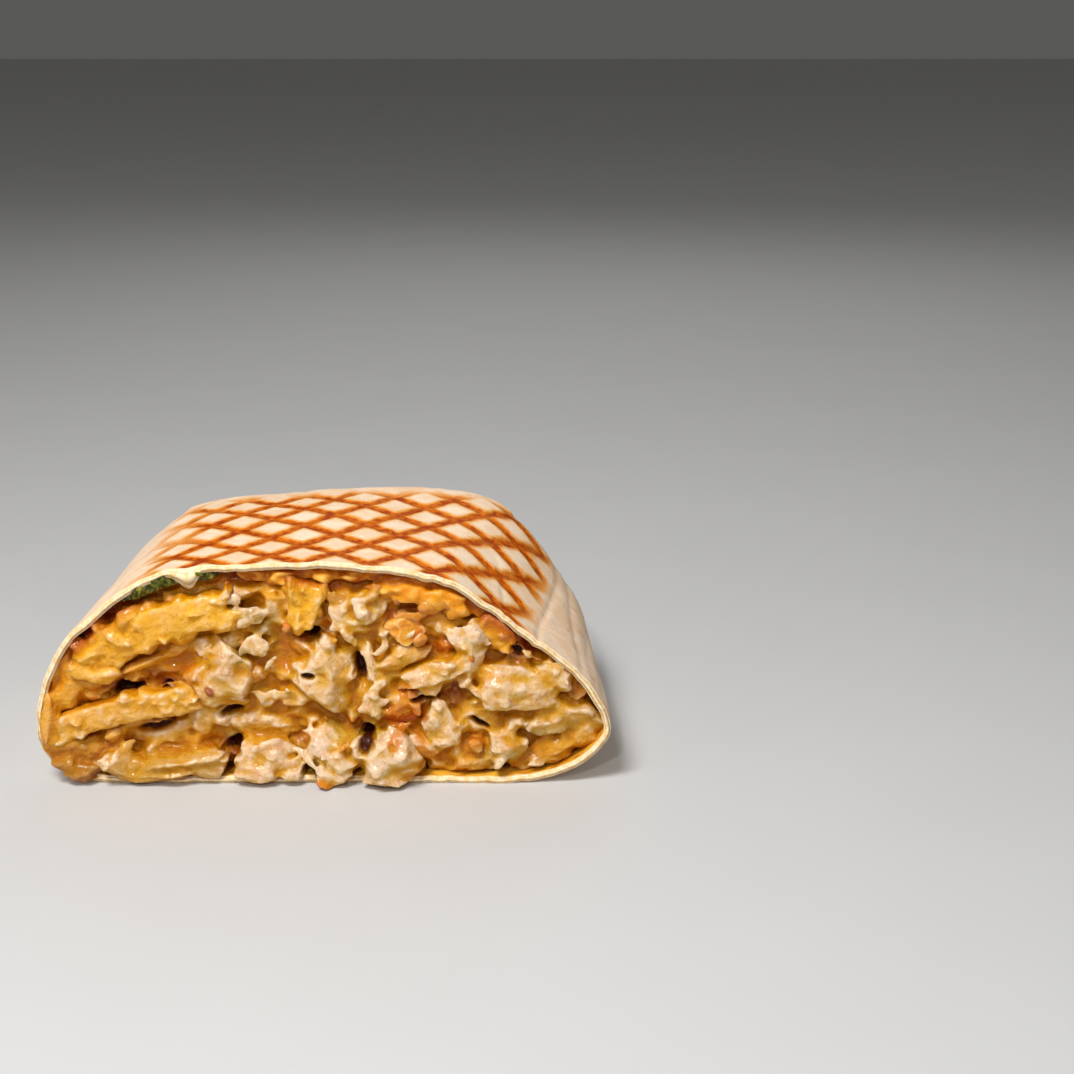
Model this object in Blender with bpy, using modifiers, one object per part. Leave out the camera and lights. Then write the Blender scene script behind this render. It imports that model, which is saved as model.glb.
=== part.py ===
"""Half of a french tacos, cut across and lying flat.

A thin grilled tortilla is folded round chicken, fries, cheese sauce and a little herb sauce.
The cut face looks towards -Y, the closed end lies towards +Y, and the parcel rests on its flat
underside. Lengths are in metres; places on the cut face are written in millimetres and turned
into metres by MM.
"""
import math

import bmesh
import bpy
import numpy as np
from mathutils import Matrix, Vector, noise

MM = 0.001

# Driving dimensions of the parcel
CUT_WIDTH = 124.8 * MM
CUT_HEIGHT = 50.8 * MM
SHOULDER_DEPTH = 57.0 * MM      # from the cut back to where the closed end begins to round off
END_DEPTH = 14.0 * MM           # how far the rounded end reaches behind the shoulder
END_HEIGHT = 20.0 * MM          # height of the middle of the closed end
END_SHRINK = 0.42               # part of the shoulder's size that the rounded end loses
END_MIDDLE = 0.3                # size of the innermost ring of the end, as part of the shoulder's
TORTILLA_THICKNESS = 1.7 * MM
GAP = 0.3 * MM                  # clear space between touching pieces
FRONT_STEP = 1.4 * MM           # pieces of filling may spread past the rim from here forward
FRONT_REACH = 14.0 * MM
FRONT_SPREAD = 1.25             # how much wider than the cut the room in front of it is

# Unevenness: how far noise moves a surface, and the waves per metre of that noise
SKIN_UNEVEN = 0.8 * MM
SKIN_WAVES = 38.0
RIM_UNEVEN = 0.6 * MM
CORE_UNEVEN = 1.4 * MM
CORE_WAVES = 70.0
FRY_UNEVEN = 0.35 * MM
FRY_WAVES = 160.0
LUMP_UNEVEN = 0.34              # of a piece's own size

# The underside is pressed flat below this height, and points closer than WELD are one
PRESSED_HEIGHT = 0.06 * MM
WELD = 0.02 * MM
LAYER_CLEARANCE = 0.1 * MM
FRY_BEVEL = 0.28                # of the half thickness

# The packed core of the filling: how far it stays off the inside of the wrap, and how far back
# its face lies, as (share of the way out from the middle, millimetres behind the cut)
CORE_INSET = 0.7 * MM
CORE_FACE = ((0.2, 2.6), (0.5, 2.8), (0.78, 3.2), (0.94, 5.0))

# Counts that set how fine the faceted surfaces are
POINTS_AROUND = 64
END_RINGS = 5

# Outline of the cut, anticlockwise from the middle of the underside, as parts of half the
# width and of the height. The right shoulder has slumped; the left one stands full.
CUT_OUTLINE = (
    (0.00, 0.000), (0.32, 0.000), (0.62, 0.000), (0.79, 0.028), (0.915, 0.098), (0.992, 0.210),
    (0.982, 0.330), (0.905, 0.490), (0.71, 0.690), (0.505, 0.878), (0.39, 0.944), (0.22, 0.982),
    (0.02, 1.000), (-0.20, 0.992), (-0.40, 0.982), (-0.53, 0.957), (-0.655, 0.885),
    (-0.78, 0.772), (-0.885, 0.640), (-0.965, 0.460), (-0.998, 0.300), (-0.978, 0.150),
    (-0.900, 0.050), (-0.785, 0.006), (-0.62, 0.000), (-0.32, 0.000))

# The same outline at the shoulder, near the closed end: fuller on the right and squarer.
SHOULDER_OUTLINE = (
    (0.00, 0.000), (0.32, 0.000), (0.60, 0.000), (0.77, 0.020), (0.885, 0.085), (0.945, 0.200),
    (0.940, 0.330), (0.890, 0.500), (0.79, 0.690), (0.675, 0.855), (0.54, 0.950), (0.33, 0.992),
    (0.02, 0.998), (-0.20, 0.980), (-0.42, 0.955), (-0.58, 0.905), (-0.680, 0.825),
    (-0.78, 0.715), (-0.870, 0.580), (-0.935, 0.420), (-0.955, 0.280), (-0.930, 0.140),
    (-0.850, 0.045), (-0.740, 0.004), (-0.60, 0.000), (-0.32, 0.000))

# Depths of the rings between the cut and the shoulder, as parts of SHOULDER_DEPTH
RING_DEPTHS = (0.0, 0.05, 0.13, 0.26, 0.42, 0.58, 0.74, 0.88, 1.0)

# Pieces of chicken that show on the cut face. Each has its middle (x, height), its half sizes
# (across, up), how far its face stands in front of the cut, its half depth, and its tilt in
# degrees; lengths are in millimetres.
CHICKEN = {
    "slab_under": (-49.0, 25.6, 5.6, 5.0, -0.4, 6.0, 10),
    "left_wall": (-55.6, 21.0, 3.8, 7.0, -0.6, 6.0, -14),
    "amber_recess": (-33.4, 26.2, 8.0, 4.0, -1.6, 6.0, 8),
    "dark_bridge": (-38.0, 21.4, 9.0, 3.4, -2.4, 6.0, 10),
    "left_low_mass": (-51.2, 7.0, 8.8, 6.0, 2.2, 6.0, 8),
    "left_overflow": (-57.6, 10.6, 4.2, 7.0, 2.2, 4.0, -8),
    "bottom_left_strip": (-33.4, 4.4, 15.4, 4.0, 3.0, 6.0, 5),
    "bottom_left_end": (-44.6, 4.4, 4.6, 4.0, 3.6, 5.0, 0),
    "left_middle": (-35.0, 10.8, 9.0, 4.2, 0.2, 6.0, 12),
    "centre_left_lump": (-19.6, 25.0, 10.8, 8.6, 2.2, 8.0, -6),
    "centre_left_tip": (-26.2, 16.0, 5.2, 5.6, 0.8, 6.0, -10),
    "fibre_bundle": (-14.8, 12.8, 8.4, 4.2, 0.6, 6.0, -8),
    "shredded_knob": (-11.8, 6.2, 7.2, 5.6, 2.8, 6.0, -20),
    "porous_lump": (0.2, 23.8, 10.0, 10.0, 2.8, 8.0, 6),
    "grey_bits": (-12.2, 35.2, 5.6, 5.2, -0.2, 6.0, 0),
    "behind_curl": (-8.6, 41.2, 4.2, 5.0, -1.4, 5.0, 0),
    "upper_left_bead": (4.4, 40.2, 4.0, 3.6, 1.0, 5.0, 10),
    "upper_right_bead": (10.8, 40.4, 5.2, 4.4, 1.8, 5.0, 20),
    "upper_lump": (6.8, 35.4, 6.2, 4.2, 1.0, 6.0, -10),
    "upright_strip": (9.8, 27.8, 2.8, 6.0, 1.2, 5.0, 8),
    "under_cheddar": (17.4, 28.4, 7.2, 3.8, 0.4, 6.0, 14),
    "pale_diagonal": (11.4, 20.6, 6.8, 3.0, 0.6, 5.0, 34),
    "long_strip": (24.8, 25.2, 10.0, 3.6, 1.6, 5.0, 20),
    "branch_strip": (31.8, 31.2, 3.4, 6.8, 1.8, 5.0, -12),
    "right_small_bits": (42.0, 29.4, 4.4, 3.2, -0.2, 5.0, -20),
    "right_lump": (42.4, 20.6, 12.6, 7.6, 2.2, 8.0, -3),
    "right_top_knobs": (48.6, 24.8, 6.6, 3.8, 1.4, 6.0, -28),
    "right_wall_bits": (54.4, 14.0, 6.8, 5.0, -0.2, 5.0, -20),
    "right_low_lump": (38.6, 7.2, 6.2, 5.0, 0.8, 6.0, 8),
    "right_low_end": (49.2, 6.8, 6.8, 4.6, 0.0, 6.0, 6),
    "middle_right_bits": (32.4, 15.4, 5.2, 5.6, -0.4, 6.0, 0),
    "middle_low_pale": (28.2, 7.4, 5.6, 5.2, -0.4, 6.0, -10),
    "middle_white": (25.0, 12.8, 5.0, 6.6, 1.8, 6.0, 20),
    "middle_bits": (16.6, 16.4, 6.2, 5.6, 0.4, 6.0, 0),
    "between_lumps": (6.8, 14.8, 5.6, 4.6, -0.4, 6.0, 0),
    "bottom_lump_left": (2.0, 6.8, 7.4, 6.8, 4.6, 8.0, 6),
    "bottom_lump_right": (13.6, 6.6, 8.2, 6.8, 7.0, 9.0, -6),
    "foot_left": (-52.6, 3.0, 5.0, 2.8, 3.0, 3.6, -6),
    "foot_strip": (-37.0, 2.6, 9.0, 2.6, 3.6, 3.8, 2),
    "foot_strip_right": (-25.4, 2.8, 5.4, 2.4, 3.0, 3.6, 6),
    "foot_knobs": (-14.6, 2.8, 5.2, 2.6, 4.0, 4.0, -8),
    "foot_knobs_right": (-7.0, 2.6, 4.4, 2.2, 3.6, 4.0, 8),
    "foot_lump_left": (1.0, 2.6, 5.2, 2.6, 5.2, 4.6, 0),
    "foot_lump_right": (14.0, 2.6, 6.0, 2.4, 5.4, 5.0, 0),
}

# Fries that show: both ends (x, height) and the half thickness in millimetres, how far the
# face stands in front of the cut, and how much the fry bows upwards.
FRIES = {
    "fry_1": ((-49.6, 29.4), (-18.6, 40.2), 4.6, 2.0, 1.6),
    "fry_2": ((-57.0, 12.8), (-26.4, 19.4), 3.4, 2.2, 1.2),
    "fry_3": ((-2.0, 45.6), (-4.6, 35.2), 3.4, 1.0, 0.0),
    "fry_4": ((33.4, 37.0), (40.8, 32.0), 2.6, 0.5, 0.3),
}

# Layers that lie against the inside of the tortilla and run back through the parcel. Each has
# the span across the top as (from, to) x in millimetres, and its least and most thickness.
LAYERS = {
    "cheese_sauce": ((-19.0, 40.0), (2.0, 3.4)),
    "herb_sauce": ((-43.5, -20.5), (1.2, 2.0)),
}

# A melted piece of cheddar: middle (x, height), half sizes (across, up), front, half depth, tilt
CHEDDAR = (18.0, 35.2, 4.4, 4.0, 0.8, 4.0, 15)

COLOURS = {
    "tortilla": ((0.80, 0.62, 0.42), 0.62),
    "chicken_filling": ((0.76, 0.52, 0.29), 0.42),
    "cheese_sauce": ((0.80, 0.42, 0.08), 0.30),
    "herb_sauce": ((0.09, 0.12, 0.02), 0.38),
    "fry": ((0.78, 0.52, 0.18), 0.45),
    "cheddar": ((0.82, 0.33, 0.03), 0.32),
}


def remove_scene_objects():
    for item in list(bpy.data.objects):
        bpy.data.objects.remove(item)


def new_collection(name):
    collection = bpy.data.collections.new(name)
    bpy.context.scene.collection.children.link(collection)
    return collection


def material(name):
    colour, roughness = COLOURS[name]
    finish = bpy.data.materials.new(name)
    finish.use_nodes = True
    shader = finish.node_tree.nodes["Principled BSDF"]
    shader.inputs["Base Color"].default_value = (*colour, 1.0)
    shader.inputs["Roughness"].default_value = roughness
    shader.inputs["Metallic"].default_value = 0.0
    return finish


def make_object(name, bm, collection, finish=None):
    """Closes a bmesh into a named object with its faces pointing out."""
    bmesh.ops.recalc_face_normals(bm, faces=bm.faces)
    mesh = bpy.data.meshes.new(name)
    bm.to_mesh(mesh)
    bm.free()
    mesh.shade_smooth()
    item = bpy.data.objects.new(name, mesh)
    collection.objects.link(item)
    if finish:
        mesh.materials.append(finish)
    return item


def smooth_step(value):
    value = min(max(value, 0.0), 1.0)
    return value * value * (3.0 - 2.0 * value)


def closed_curve(outline, count):
    """Evenly spaced points on a smooth closed curve through an outline."""
    points = np.array(outline) * (CUT_WIDTH / 2, CUT_HEIGHT)
    steps = np.linspace(0.0, 1.0, 16, endpoint=False)[:, None]
    dense = []
    for index in range(len(points)):
        before, start, end, after = (points[(index + shift) % len(points)] for shift in (-1, 0, 1, 2))
        slope_start = (end - before) / 2
        slope_end = (after - start) / 2
        leaving = (2 * steps**3 - 3 * steps**2 + 1) * start + (steps**3 - 2 * steps**2 + steps) * slope_start
        arriving = (3 * steps**2 - 2 * steps**3) * end + (steps**3 - steps**2) * slope_end
        dense.append(leaving + arriving)
    dense = np.vstack(dense + [points[:1]])
    travel = np.insert(np.cumsum(np.linalg.norm(np.diff(dense, axis=0), axis=1)), 0, 0.0)
    wanted = np.linspace(0.0, travel[-1], count, endpoint=False)
    return np.stack([np.interp(wanted, travel, dense[:, axis]) for axis in (0, 1)], axis=1)


def skin_rings():
    """Rings of points on the outside of the tortilla, from the cut to the closed end."""
    cut = closed_curve(CUT_OUTLINE, POINTS_AROUND)
    shoulder = closed_curve(SHOULDER_OUTLINE, POINTS_AROUND)
    rings = []
    for depth in RING_DEPTHS:
        blend = smooth_step(depth)
        section = cut * (1 - blend) + shoulder * blend
        rings.append(place_ring(section, depth * SHOULDER_DEPTH))
    middle = np.array((0.0, END_HEIGHT))
    for step in range(1, END_RINGS + 1):
        angle = math.radians(90.0 * step / END_RINGS)
        shrink = 1.0 - END_SHRINK * (1.0 - math.cos(angle))
        depth = SHOULDER_DEPTH + END_DEPTH * math.sin(angle)
        rings.append(place_ring(middle + (shoulder - middle) * shrink, depth))
    rings.append(place_ring(middle + (shoulder - middle) * END_MIDDLE, SHOULDER_DEPTH + END_DEPTH + 0.4 * MM))
    return rings


def place_ring(section, depth):
    """Stands a section up at its depth and gives the skin its slow unevenness above the floor."""
    ring = []
    for x, height in section:
        height = 0.0 if height < PRESSED_HEIGHT else height
        point = Vector((x, depth, height))
        lift = smooth_step(height / (8 * MM)) * smooth_step(depth / (10 * MM))
        point.z += SKIN_UNEVEN * lift * noise.noise(point * SKIN_WAVES)
        point.x += SKIN_UNEVEN * lift * noise.noise(point * SKIN_WAVES + Vector((7.0, 3.0, 1.0)))
        ring.append(point)
    if depth == 0.0:
        for index, point in enumerate(ring):
            point.y = RIM_UNEVEN * noise.noise(Vector((index * 0.35, 4.0, 0.0)))
    return ring


def loft(rings, close_start=False, close_end=False):
    """Joins rings of equal count with quads; an end is closed by a fan of triangles."""
    bm = bmesh.new()
    rows = [[bm.verts.new(point) for point in ring] for ring in rings]
    count = len(rows[0])
    for low, high in zip(rows, rows[1:]):
        for index in range(count):
            after = (index + 1) % count
            bm.faces.new((low[index], low[after], high[after], high[index]))
    for wanted, row in ((close_start, rows[0]), (close_end, rows[-1])):
        if wanted:
            middle = bm.verts.new(sum((vert.co for vert in row), Vector()) / count)
            for index in range(count):
                bm.faces.new((row[index], row[(index + 1) % count], middle))
    bmesh.ops.recalc_face_normals(bm, faces=bm.faces)
    return bm


def offset_rings(rings, inset):
    """The skin's rings moved inwards along the skin's own normals."""
    bm = loft(rings, close_end=True)
    bm.normal_update()
    bm.verts.ensure_lookup_table()
    outward = 1.0 if bm.verts[POINTS_AROUND // 2].normal.z > 0 else -1.0
    moved = []
    for row in range(len(rings)):
        start = row * POINTS_AROUND
        verts = bm.verts[start:start + POINTS_AROUND]
        moved.append([vert.co - vert.normal * inset * outward for vert in verts])
    bm.free()
    return moved


def tortilla(rings, collection):
    """The wrap: an open skin with its real thickness, closed at the far end."""
    item = make_object("tortilla", loft(rings, close_end=True), collection, material("tortilla"))
    wall = item.modifiers.new("Wall", "SOLIDIFY")
    wall.thickness = TORTILLA_THICKNESS
    wall.offset = -1.0
    return item


def cavity(rings, collection):
    """The room that the filling may take: inside the wrap, and spreading in front of the cut."""
    inside = offset_rings(rings, TORTILLA_THICKNESS + GAP)
    lip = [Vector((point.x, -FRONT_STEP, point.z)) for point in inside[0]]
    middle = Vector((0.0, 0.0, CUT_HEIGHT / 2))
    spread = []
    for point in lip:
        wide = middle + (point - middle) * FRONT_SPREAD
        spread.append(Vector((wide.x, -FRONT_STEP, max(wide.z, GAP))))
    front = [Vector((point.x, -FRONT_REACH, point.z)) for point in spread]
    room = make_object("cavity", loft([front, spread, lip] + inside, True, True), collection)
    return as_cutter(room)


def as_cutter(item):
    item.hide_render = True
    item.display_type = "WIRE"
    return item


def core(rings, collection):
    """The packed middle of the filling, set back behind the pieces that show."""
    inside = [ring[::2] for ring in offset_rings(rings, TORTILLA_THICKNESS + GAP + CORE_INSET)[2:]]
    middle = Vector((0.0, 0.0, CUT_HEIGHT / 2))
    face = []
    for shrink, back in CORE_FACE:
        row = []
        for point in inside[0]:
            spot = middle + (Vector((point.x, 0.0, point.z)) - middle) * shrink
            spot.y = back * MM + CORE_UNEVEN * noise.noise(spot * CORE_WAVES)
            row.append(spot)
        face.append(row)
    return make_object("chicken_filling", loft(face + inside, True, True), collection)


def lump(name, sizes, collection):
    """A torn, knobbly piece: a round form that noise pushes in and out."""
    x, height, half_across, half_up, front, half_depth, tilt = sizes
    bm = bmesh.new()
    bmesh.ops.create_icosphere(bm, subdivisions=2, radius=1.0)
    seed = Vector((x, height, front)) * 0.37
    for vert in bm.verts:
        vert.co *= 1.0 + LUMP_UNEVEN * noise.noise(vert.co * 1.5 + seed)
    place = (Matrix.Translation(Vector((x, half_depth - front, height)) * MM)
             @ Matrix.Rotation(math.radians(-tilt), 4, "Y")
             @ Matrix.Diagonal(Vector((half_across, half_depth, half_up)) * MM).to_4x4())
    bmesh.ops.transform(bm, matrix=place, verts=bm.verts)
    for vert in bm.verts:
        vert.co.z = max(vert.co.z, 1.5 * GAP)
    return make_object(name, bm, collection)


def fry(name, sizes, collection):
    """A square potato stick, a little bowed, with softened edges."""
    (x_start, z_start), (x_end, z_end), half_thick, front, bow = sizes
    length = math.hypot(x_end - x_start, z_end - z_start)
    bm = bmesh.new()
    bmesh.ops.create_cube(bm, size=1.0)
    bmesh.ops.scale(bm, vec=Vector((length, 2 * half_thick, 2 * half_thick)) * MM, verts=bm.verts)
    bevel = FRY_BEVEL * half_thick * MM
    bmesh.ops.bevel(bm, geom=bm.edges[:], offset=bevel, segments=1, affect="EDGES")
    long_edges = [edge for edge in bm.edges if edge.calc_length() > 0.6 * length * MM]
    bmesh.ops.subdivide_edges(bm, edges=long_edges, cuts=4)
    for vert in bm.verts:
        along = vert.co.x / (length * MM)
        vert.co.z += bow * MM * (1.0 - 4.0 * along * along)
        vert.co.z += FRY_UNEVEN * noise.noise(vert.co * FRY_WAVES)
    tilt = math.atan2(z_end - z_start, x_end - x_start)
    middle = Vector(((x_start + x_end) / 2, half_thick - front, (z_start + z_end) / 2)) * MM
    place = Matrix.Translation(middle) @ Matrix.Rotation(-tilt, 4, "Y")
    bmesh.ops.transform(bm, matrix=place, verts=bm.verts)
    return make_object(name, bm, collection, material("fry"))


def layer(name, rings, collection):
    """A spread of sauce against the wrap, with an uneven underside, running to the shoulder."""
    (x_from, x_to), (thin, thick) = LAYERS[name]
    inset = TORTILLA_THICKNESS + GAP + LAYER_CLEARANCE
    against = offset_rings(rings, inset)
    below = offset_rings(rings, inset + 1.0 * MM)
    rows = range(len(RING_DEPTHS))
    top = [index for index in range(POINTS_AROUND)
           if against[0][index].z > CUT_HEIGHT * 0.6 and x_from * MM <= against[0][index].x <= x_to * MM]
    bm = bmesh.new()
    outer = []
    inner = []
    for row in rows:
        outer.append([])
        inner.append([])
        for index in top:
            edge = min(index - top[0], top[-1] - index) / 3.0
            wave = 0.5 + 0.5 * noise.noise(Vector((index * 0.5, row * 0.6, thin)))
            thickness = (thin + (thick - thin) * wave) * (0.45 + 0.55 * smooth_step(edge))
            start = against[row][index]
            end = start + (below[row][index] - start) * thickness
            if row == 0:
                start = Vector((start.x, 0.4 * MM, start.z))
                end = Vector((end.x, (0.7 - 0.7 * wave) * MM, end.z))
            outer[-1].append(bm.verts.new(start))
            inner[-1].append(bm.verts.new(end))
    join_sheets(bm, outer, inner)
    return make_object(name, bm, collection, material(name))


def join_sheets(bm, outer, inner):
    """Closes two grids of points that lie over each other into one solid."""
    for sheet in (outer, inner):
        for low, high in zip(sheet, sheet[1:]):
            for index in range(len(low) - 1):
                bm.faces.new((low[index], low[index + 1], high[index + 1], high[index]))
    for row in (0, -1):
        over, under = outer[row], inner[row]
        for index in range(len(over) - 1):
            bm.faces.new((over[index], over[index + 1], under[index + 1], under[index]))
    for column in (0, -1):
        over = [row[column] for row in outer]
        under = [row[column] for row in inner]
        for index in range(len(over) - 1):
            bm.faces.new((over[index], over[index + 1], under[index + 1], under[index]))


def grown(item, collection):
    """A copy pushed outwards by the gap, which cuts room for the piece in its neighbour."""
    bm = bmesh.new()
    bm.from_mesh(item.data)
    bm.normal_update()
    for vert in bm.verts:
        vert.co += vert.normal * GAP * 1.3
    return as_cutter(make_object(item.name + "_room", bm, collection))


def apply_boolean(item, operation, tool=None, group=None):
    """Cuts or joins an object, keeps the result as its mesh and drops loose crumbs."""
    change = item.modifiers.new(operation, "BOOLEAN")
    change.operation = operation
    change.solver = "EXACT"
    if group:
        change.operand_type = "COLLECTION"
        change.collection = group
    else:
        change.object = tool
    bpy.context.view_layer.update()
    evaluated = item.evaluated_get(bpy.context.evaluated_depsgraph_get())
    mesh = bpy.data.meshes.new_from_object(evaluated)
    item.modifiers.clear()
    item.data = mesh
    keep_largest_body(item)


def keep_largest_body(item):
    bm = bmesh.new()
    bm.from_mesh(item.data)
    bmesh.ops.remove_doubles(bm, verts=bm.verts, dist=WELD)
    bmesh.ops.dissolve_degenerate(bm, edges=bm.edges, dist=WELD)
    unseen = set(bm.verts)
    bodies = []
    while unseen:
        body = set()
        queue = [unseen.pop()]
        while queue:
            vert = queue.pop()
            body.add(vert)
            for edge in vert.link_edges:
                other = edge.other_vert(vert)
                if other in unseen:
                    unseen.discard(other)
                    queue.append(other)
        bodies.append(body)
    bodies.sort(key=len, reverse=True)
    scraps = [vert for body in bodies[1:] for vert in body]
    bmesh.ops.delete(bm, geom=scraps, context="VERTS")
    bm.to_mesh(item.data)
    bm.free()
    item.data.shade_smooth()


def filling(rings, room, spaces, collection):
    """Chicken: the packed core with the pieces of the cut face fused on, clear of the rest."""
    body = core(rings, collection)
    pieces = new_collection("chicken_pieces")
    for name, sizes in CHICKEN.items():
        lump(name, sizes, pieces)
    apply_boolean(body, "UNION", group=pieces)
    for item in list(pieces.objects):
        bpy.data.objects.remove(item)
    bpy.data.collections.remove(pieces)
    apply_boolean(body, "INTERSECT", tool=room)
    for space in spaces:
        apply_boolean(body, "DIFFERENCE", tool=space)
    body.data.materials.clear()
    body.data.materials.append(material("chicken_filling"))
    return body


def centre_on_floor(items):
    """Moves everything so that the middle of the underside is the origin."""
    bpy.context.view_layer.update()
    corners = np.array([item.matrix_world @ Vector(corner) for item in items for corner in item.bound_box])
    low = corners.min(axis=0)
    high = corners.max(axis=0)
    shift = Vector((-(low[0] + high[0]) / 2, -(low[1] + high[1]) / 2, -low[2]))
    for item in items:
        item.location += shift


def main():
    remove_scene_objects()
    collection = new_collection("french_tacos")
    cutters = new_collection("cutters")
    rings = skin_rings()
    wrap = tortilla(rings, collection)
    room = cavity(rings, cutters)
    layers = [layer(name, rings, collection) for name in LAYERS]
    fries = [fry(name, sizes, collection) for name, sizes in FRIES.items()]
    cheddar = lump("cheddar", CHEDDAR, collection)
    cheddar.data.materials.append(material("cheddar"))
    sauce_spaces = [grown(sauce, cutters) for sauce in layers]
    for item in fries + [cheddar]:
        apply_boolean(item, "INTERSECT", tool=room)
        for space in sauce_spaces:
            apply_boolean(item, "DIFFERENCE", tool=space)
    spaces = sauce_spaces + [grown(item, cutters) for item in fries + [cheddar]]
    chicken = filling(rings, room, spaces, collection)
    centre_on_floor([wrap, chicken, cheddar] + layers + fries)


main()
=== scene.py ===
"""The looks of half a french tacos: the grilled wrap, its filling and sauces, a floor and soft light.

Places on the cut face are in millimetres: x to the right from the middle of the cut, y back from
the cut, and the height above the floor. Everything is built in that frame and then moved by ORIGIN
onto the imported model.
"""
import functools
import itertools
import math

import bmesh
import bpy
import numpy as np
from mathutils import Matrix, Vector, noise


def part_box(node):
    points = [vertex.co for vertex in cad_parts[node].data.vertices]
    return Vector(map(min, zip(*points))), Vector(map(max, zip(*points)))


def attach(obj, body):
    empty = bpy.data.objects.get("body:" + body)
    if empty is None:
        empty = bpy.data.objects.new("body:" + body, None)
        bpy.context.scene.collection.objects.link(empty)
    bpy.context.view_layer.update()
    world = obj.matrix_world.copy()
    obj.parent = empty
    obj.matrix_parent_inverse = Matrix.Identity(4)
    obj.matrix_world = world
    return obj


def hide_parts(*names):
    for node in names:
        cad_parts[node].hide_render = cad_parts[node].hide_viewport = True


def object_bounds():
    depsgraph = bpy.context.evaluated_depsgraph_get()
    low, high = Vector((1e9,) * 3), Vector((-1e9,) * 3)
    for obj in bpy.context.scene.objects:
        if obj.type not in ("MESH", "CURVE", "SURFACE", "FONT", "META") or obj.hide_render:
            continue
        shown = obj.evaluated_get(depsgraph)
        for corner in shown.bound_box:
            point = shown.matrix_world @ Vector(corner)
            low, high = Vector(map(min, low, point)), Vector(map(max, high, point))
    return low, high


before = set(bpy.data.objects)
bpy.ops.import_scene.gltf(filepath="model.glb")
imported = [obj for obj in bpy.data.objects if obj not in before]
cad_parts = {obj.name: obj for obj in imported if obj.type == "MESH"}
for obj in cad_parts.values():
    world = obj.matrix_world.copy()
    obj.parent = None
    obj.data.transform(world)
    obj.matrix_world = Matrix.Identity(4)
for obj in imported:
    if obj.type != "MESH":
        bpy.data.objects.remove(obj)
CAD_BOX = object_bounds()

MM = 0.001

# The wrap, as the solids have it
CUT_WIDTH = 124.8
CUT_HEIGHT = 50.8
SHOULDER_DEPTH = 57.0
END_DEPTH = 14.0
END_HEIGHT = 20.0
END_SHRINK = 0.42
TORTILLA_THICKNESS = 1.7
CUT_OUTLINE = (
    (0.00, 0.000), (0.32, 0.000), (0.62, 0.000), (0.79, 0.028), (0.915, 0.098), (0.992, 0.210),
    (0.982, 0.330), (0.905, 0.490), (0.71, 0.690), (0.505, 0.878), (0.39, 0.944), (0.22, 0.982),
    (0.02, 1.000), (-0.20, 0.992), (-0.40, 0.982), (-0.53, 0.957), (-0.655, 0.885),
    (-0.78, 0.772), (-0.885, 0.640), (-0.965, 0.460), (-0.998, 0.300), (-0.978, 0.150),
    (-0.900, 0.050), (-0.785, 0.006), (-0.62, 0.000), (-0.32, 0.000))
SHOULDER_OUTLINE = (
    (0.00, 0.000), (0.32, 0.000), (0.60, 0.000), (0.77, 0.020), (0.885, 0.085), (0.945, 0.200),
    (0.940, 0.330), (0.890, 0.500), (0.79, 0.690), (0.675, 0.855), (0.54, 0.950), (0.33, 0.992),
    (0.02, 0.998), (-0.20, 0.980), (-0.42, 0.955), (-0.58, 0.905), (-0.680, 0.825),
    (-0.78, 0.715), (-0.870, 0.580), (-0.935, 0.420), (-0.955, 0.280), (-0.930, 0.140),
    (-0.850, 0.045), (-0.740, 0.004), (-0.60, 0.000), (-0.32, 0.000))

# The grill's crossed lines: the crossing nearest the cut, half the diagonal of a lozenge, and
# how far the pattern is turned from the cut's own direction
GRILL_ORIGIN = (2.9, 7.2)
GRILL_HALF_DIAGONAL = 6.93
GRILL_TURN = math.radians(5.8)
GROOVE_DEPTH = 0.28

# The folded end: the flap's half width at the floor and its growth with height, the height of its
# hem, and the depths of its step and its creases
FLAP_HALF_WIDTH = 17.0
FLAP_TAPER = 0.5
HEM_HEIGHT = 6.5
FLAP_STEP = 1.2
CREASE_DEPTH = 0.5

# Where the torn tongue hangs from the rim; and how finely the wrap is made: points round it, rows
# back to the shoulder, round the closed end and across it, and which of the rows its inside has
TONGUE_PLACE = -27.4
WRAP_AROUND = 540
WRAP_ROWS = (84, 26, 44)
INNER_ROWS = [0, 1, 2, 3, 5, 8, 12, 18, 26, 38, 52, 66, 83, 95, 109, 125, 140, 153]


def srgb(red, green, blue):
    """A screen colour of 0 to 255 as linear light."""
    values = np.array((red, green, blue)) / 255.0
    return np.where(values <= 0.04045, values / 12.92, ((values + 0.055) / 1.055) ** 2.4)


# Colours of the filling
TONES = {
    "white": srgb(240, 212, 184),
    "pale": srgb(238, 196, 142),
    "cream": srgb(234, 180, 100),
    "gold": srgb(250, 190, 84),
    "yellow": srgb(234, 166, 48),
    "amber": srgb(222, 138, 20),
    "orange": srgb(220, 120, 8),
    "toffee": srgb(194, 128, 6),
    "brown": srgb(156, 82, 10),
    "pink": srgb(238, 192, 146),
    "grey": srgb(190, 160, 112),
    # dark: painted shade, the near-black inside the hollows between pieces
    "dark": srgb(66, 18, 2),
    "chilli": srgb(146, 30, 8),
    "green": srgb(88, 96, 14),
}

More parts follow.
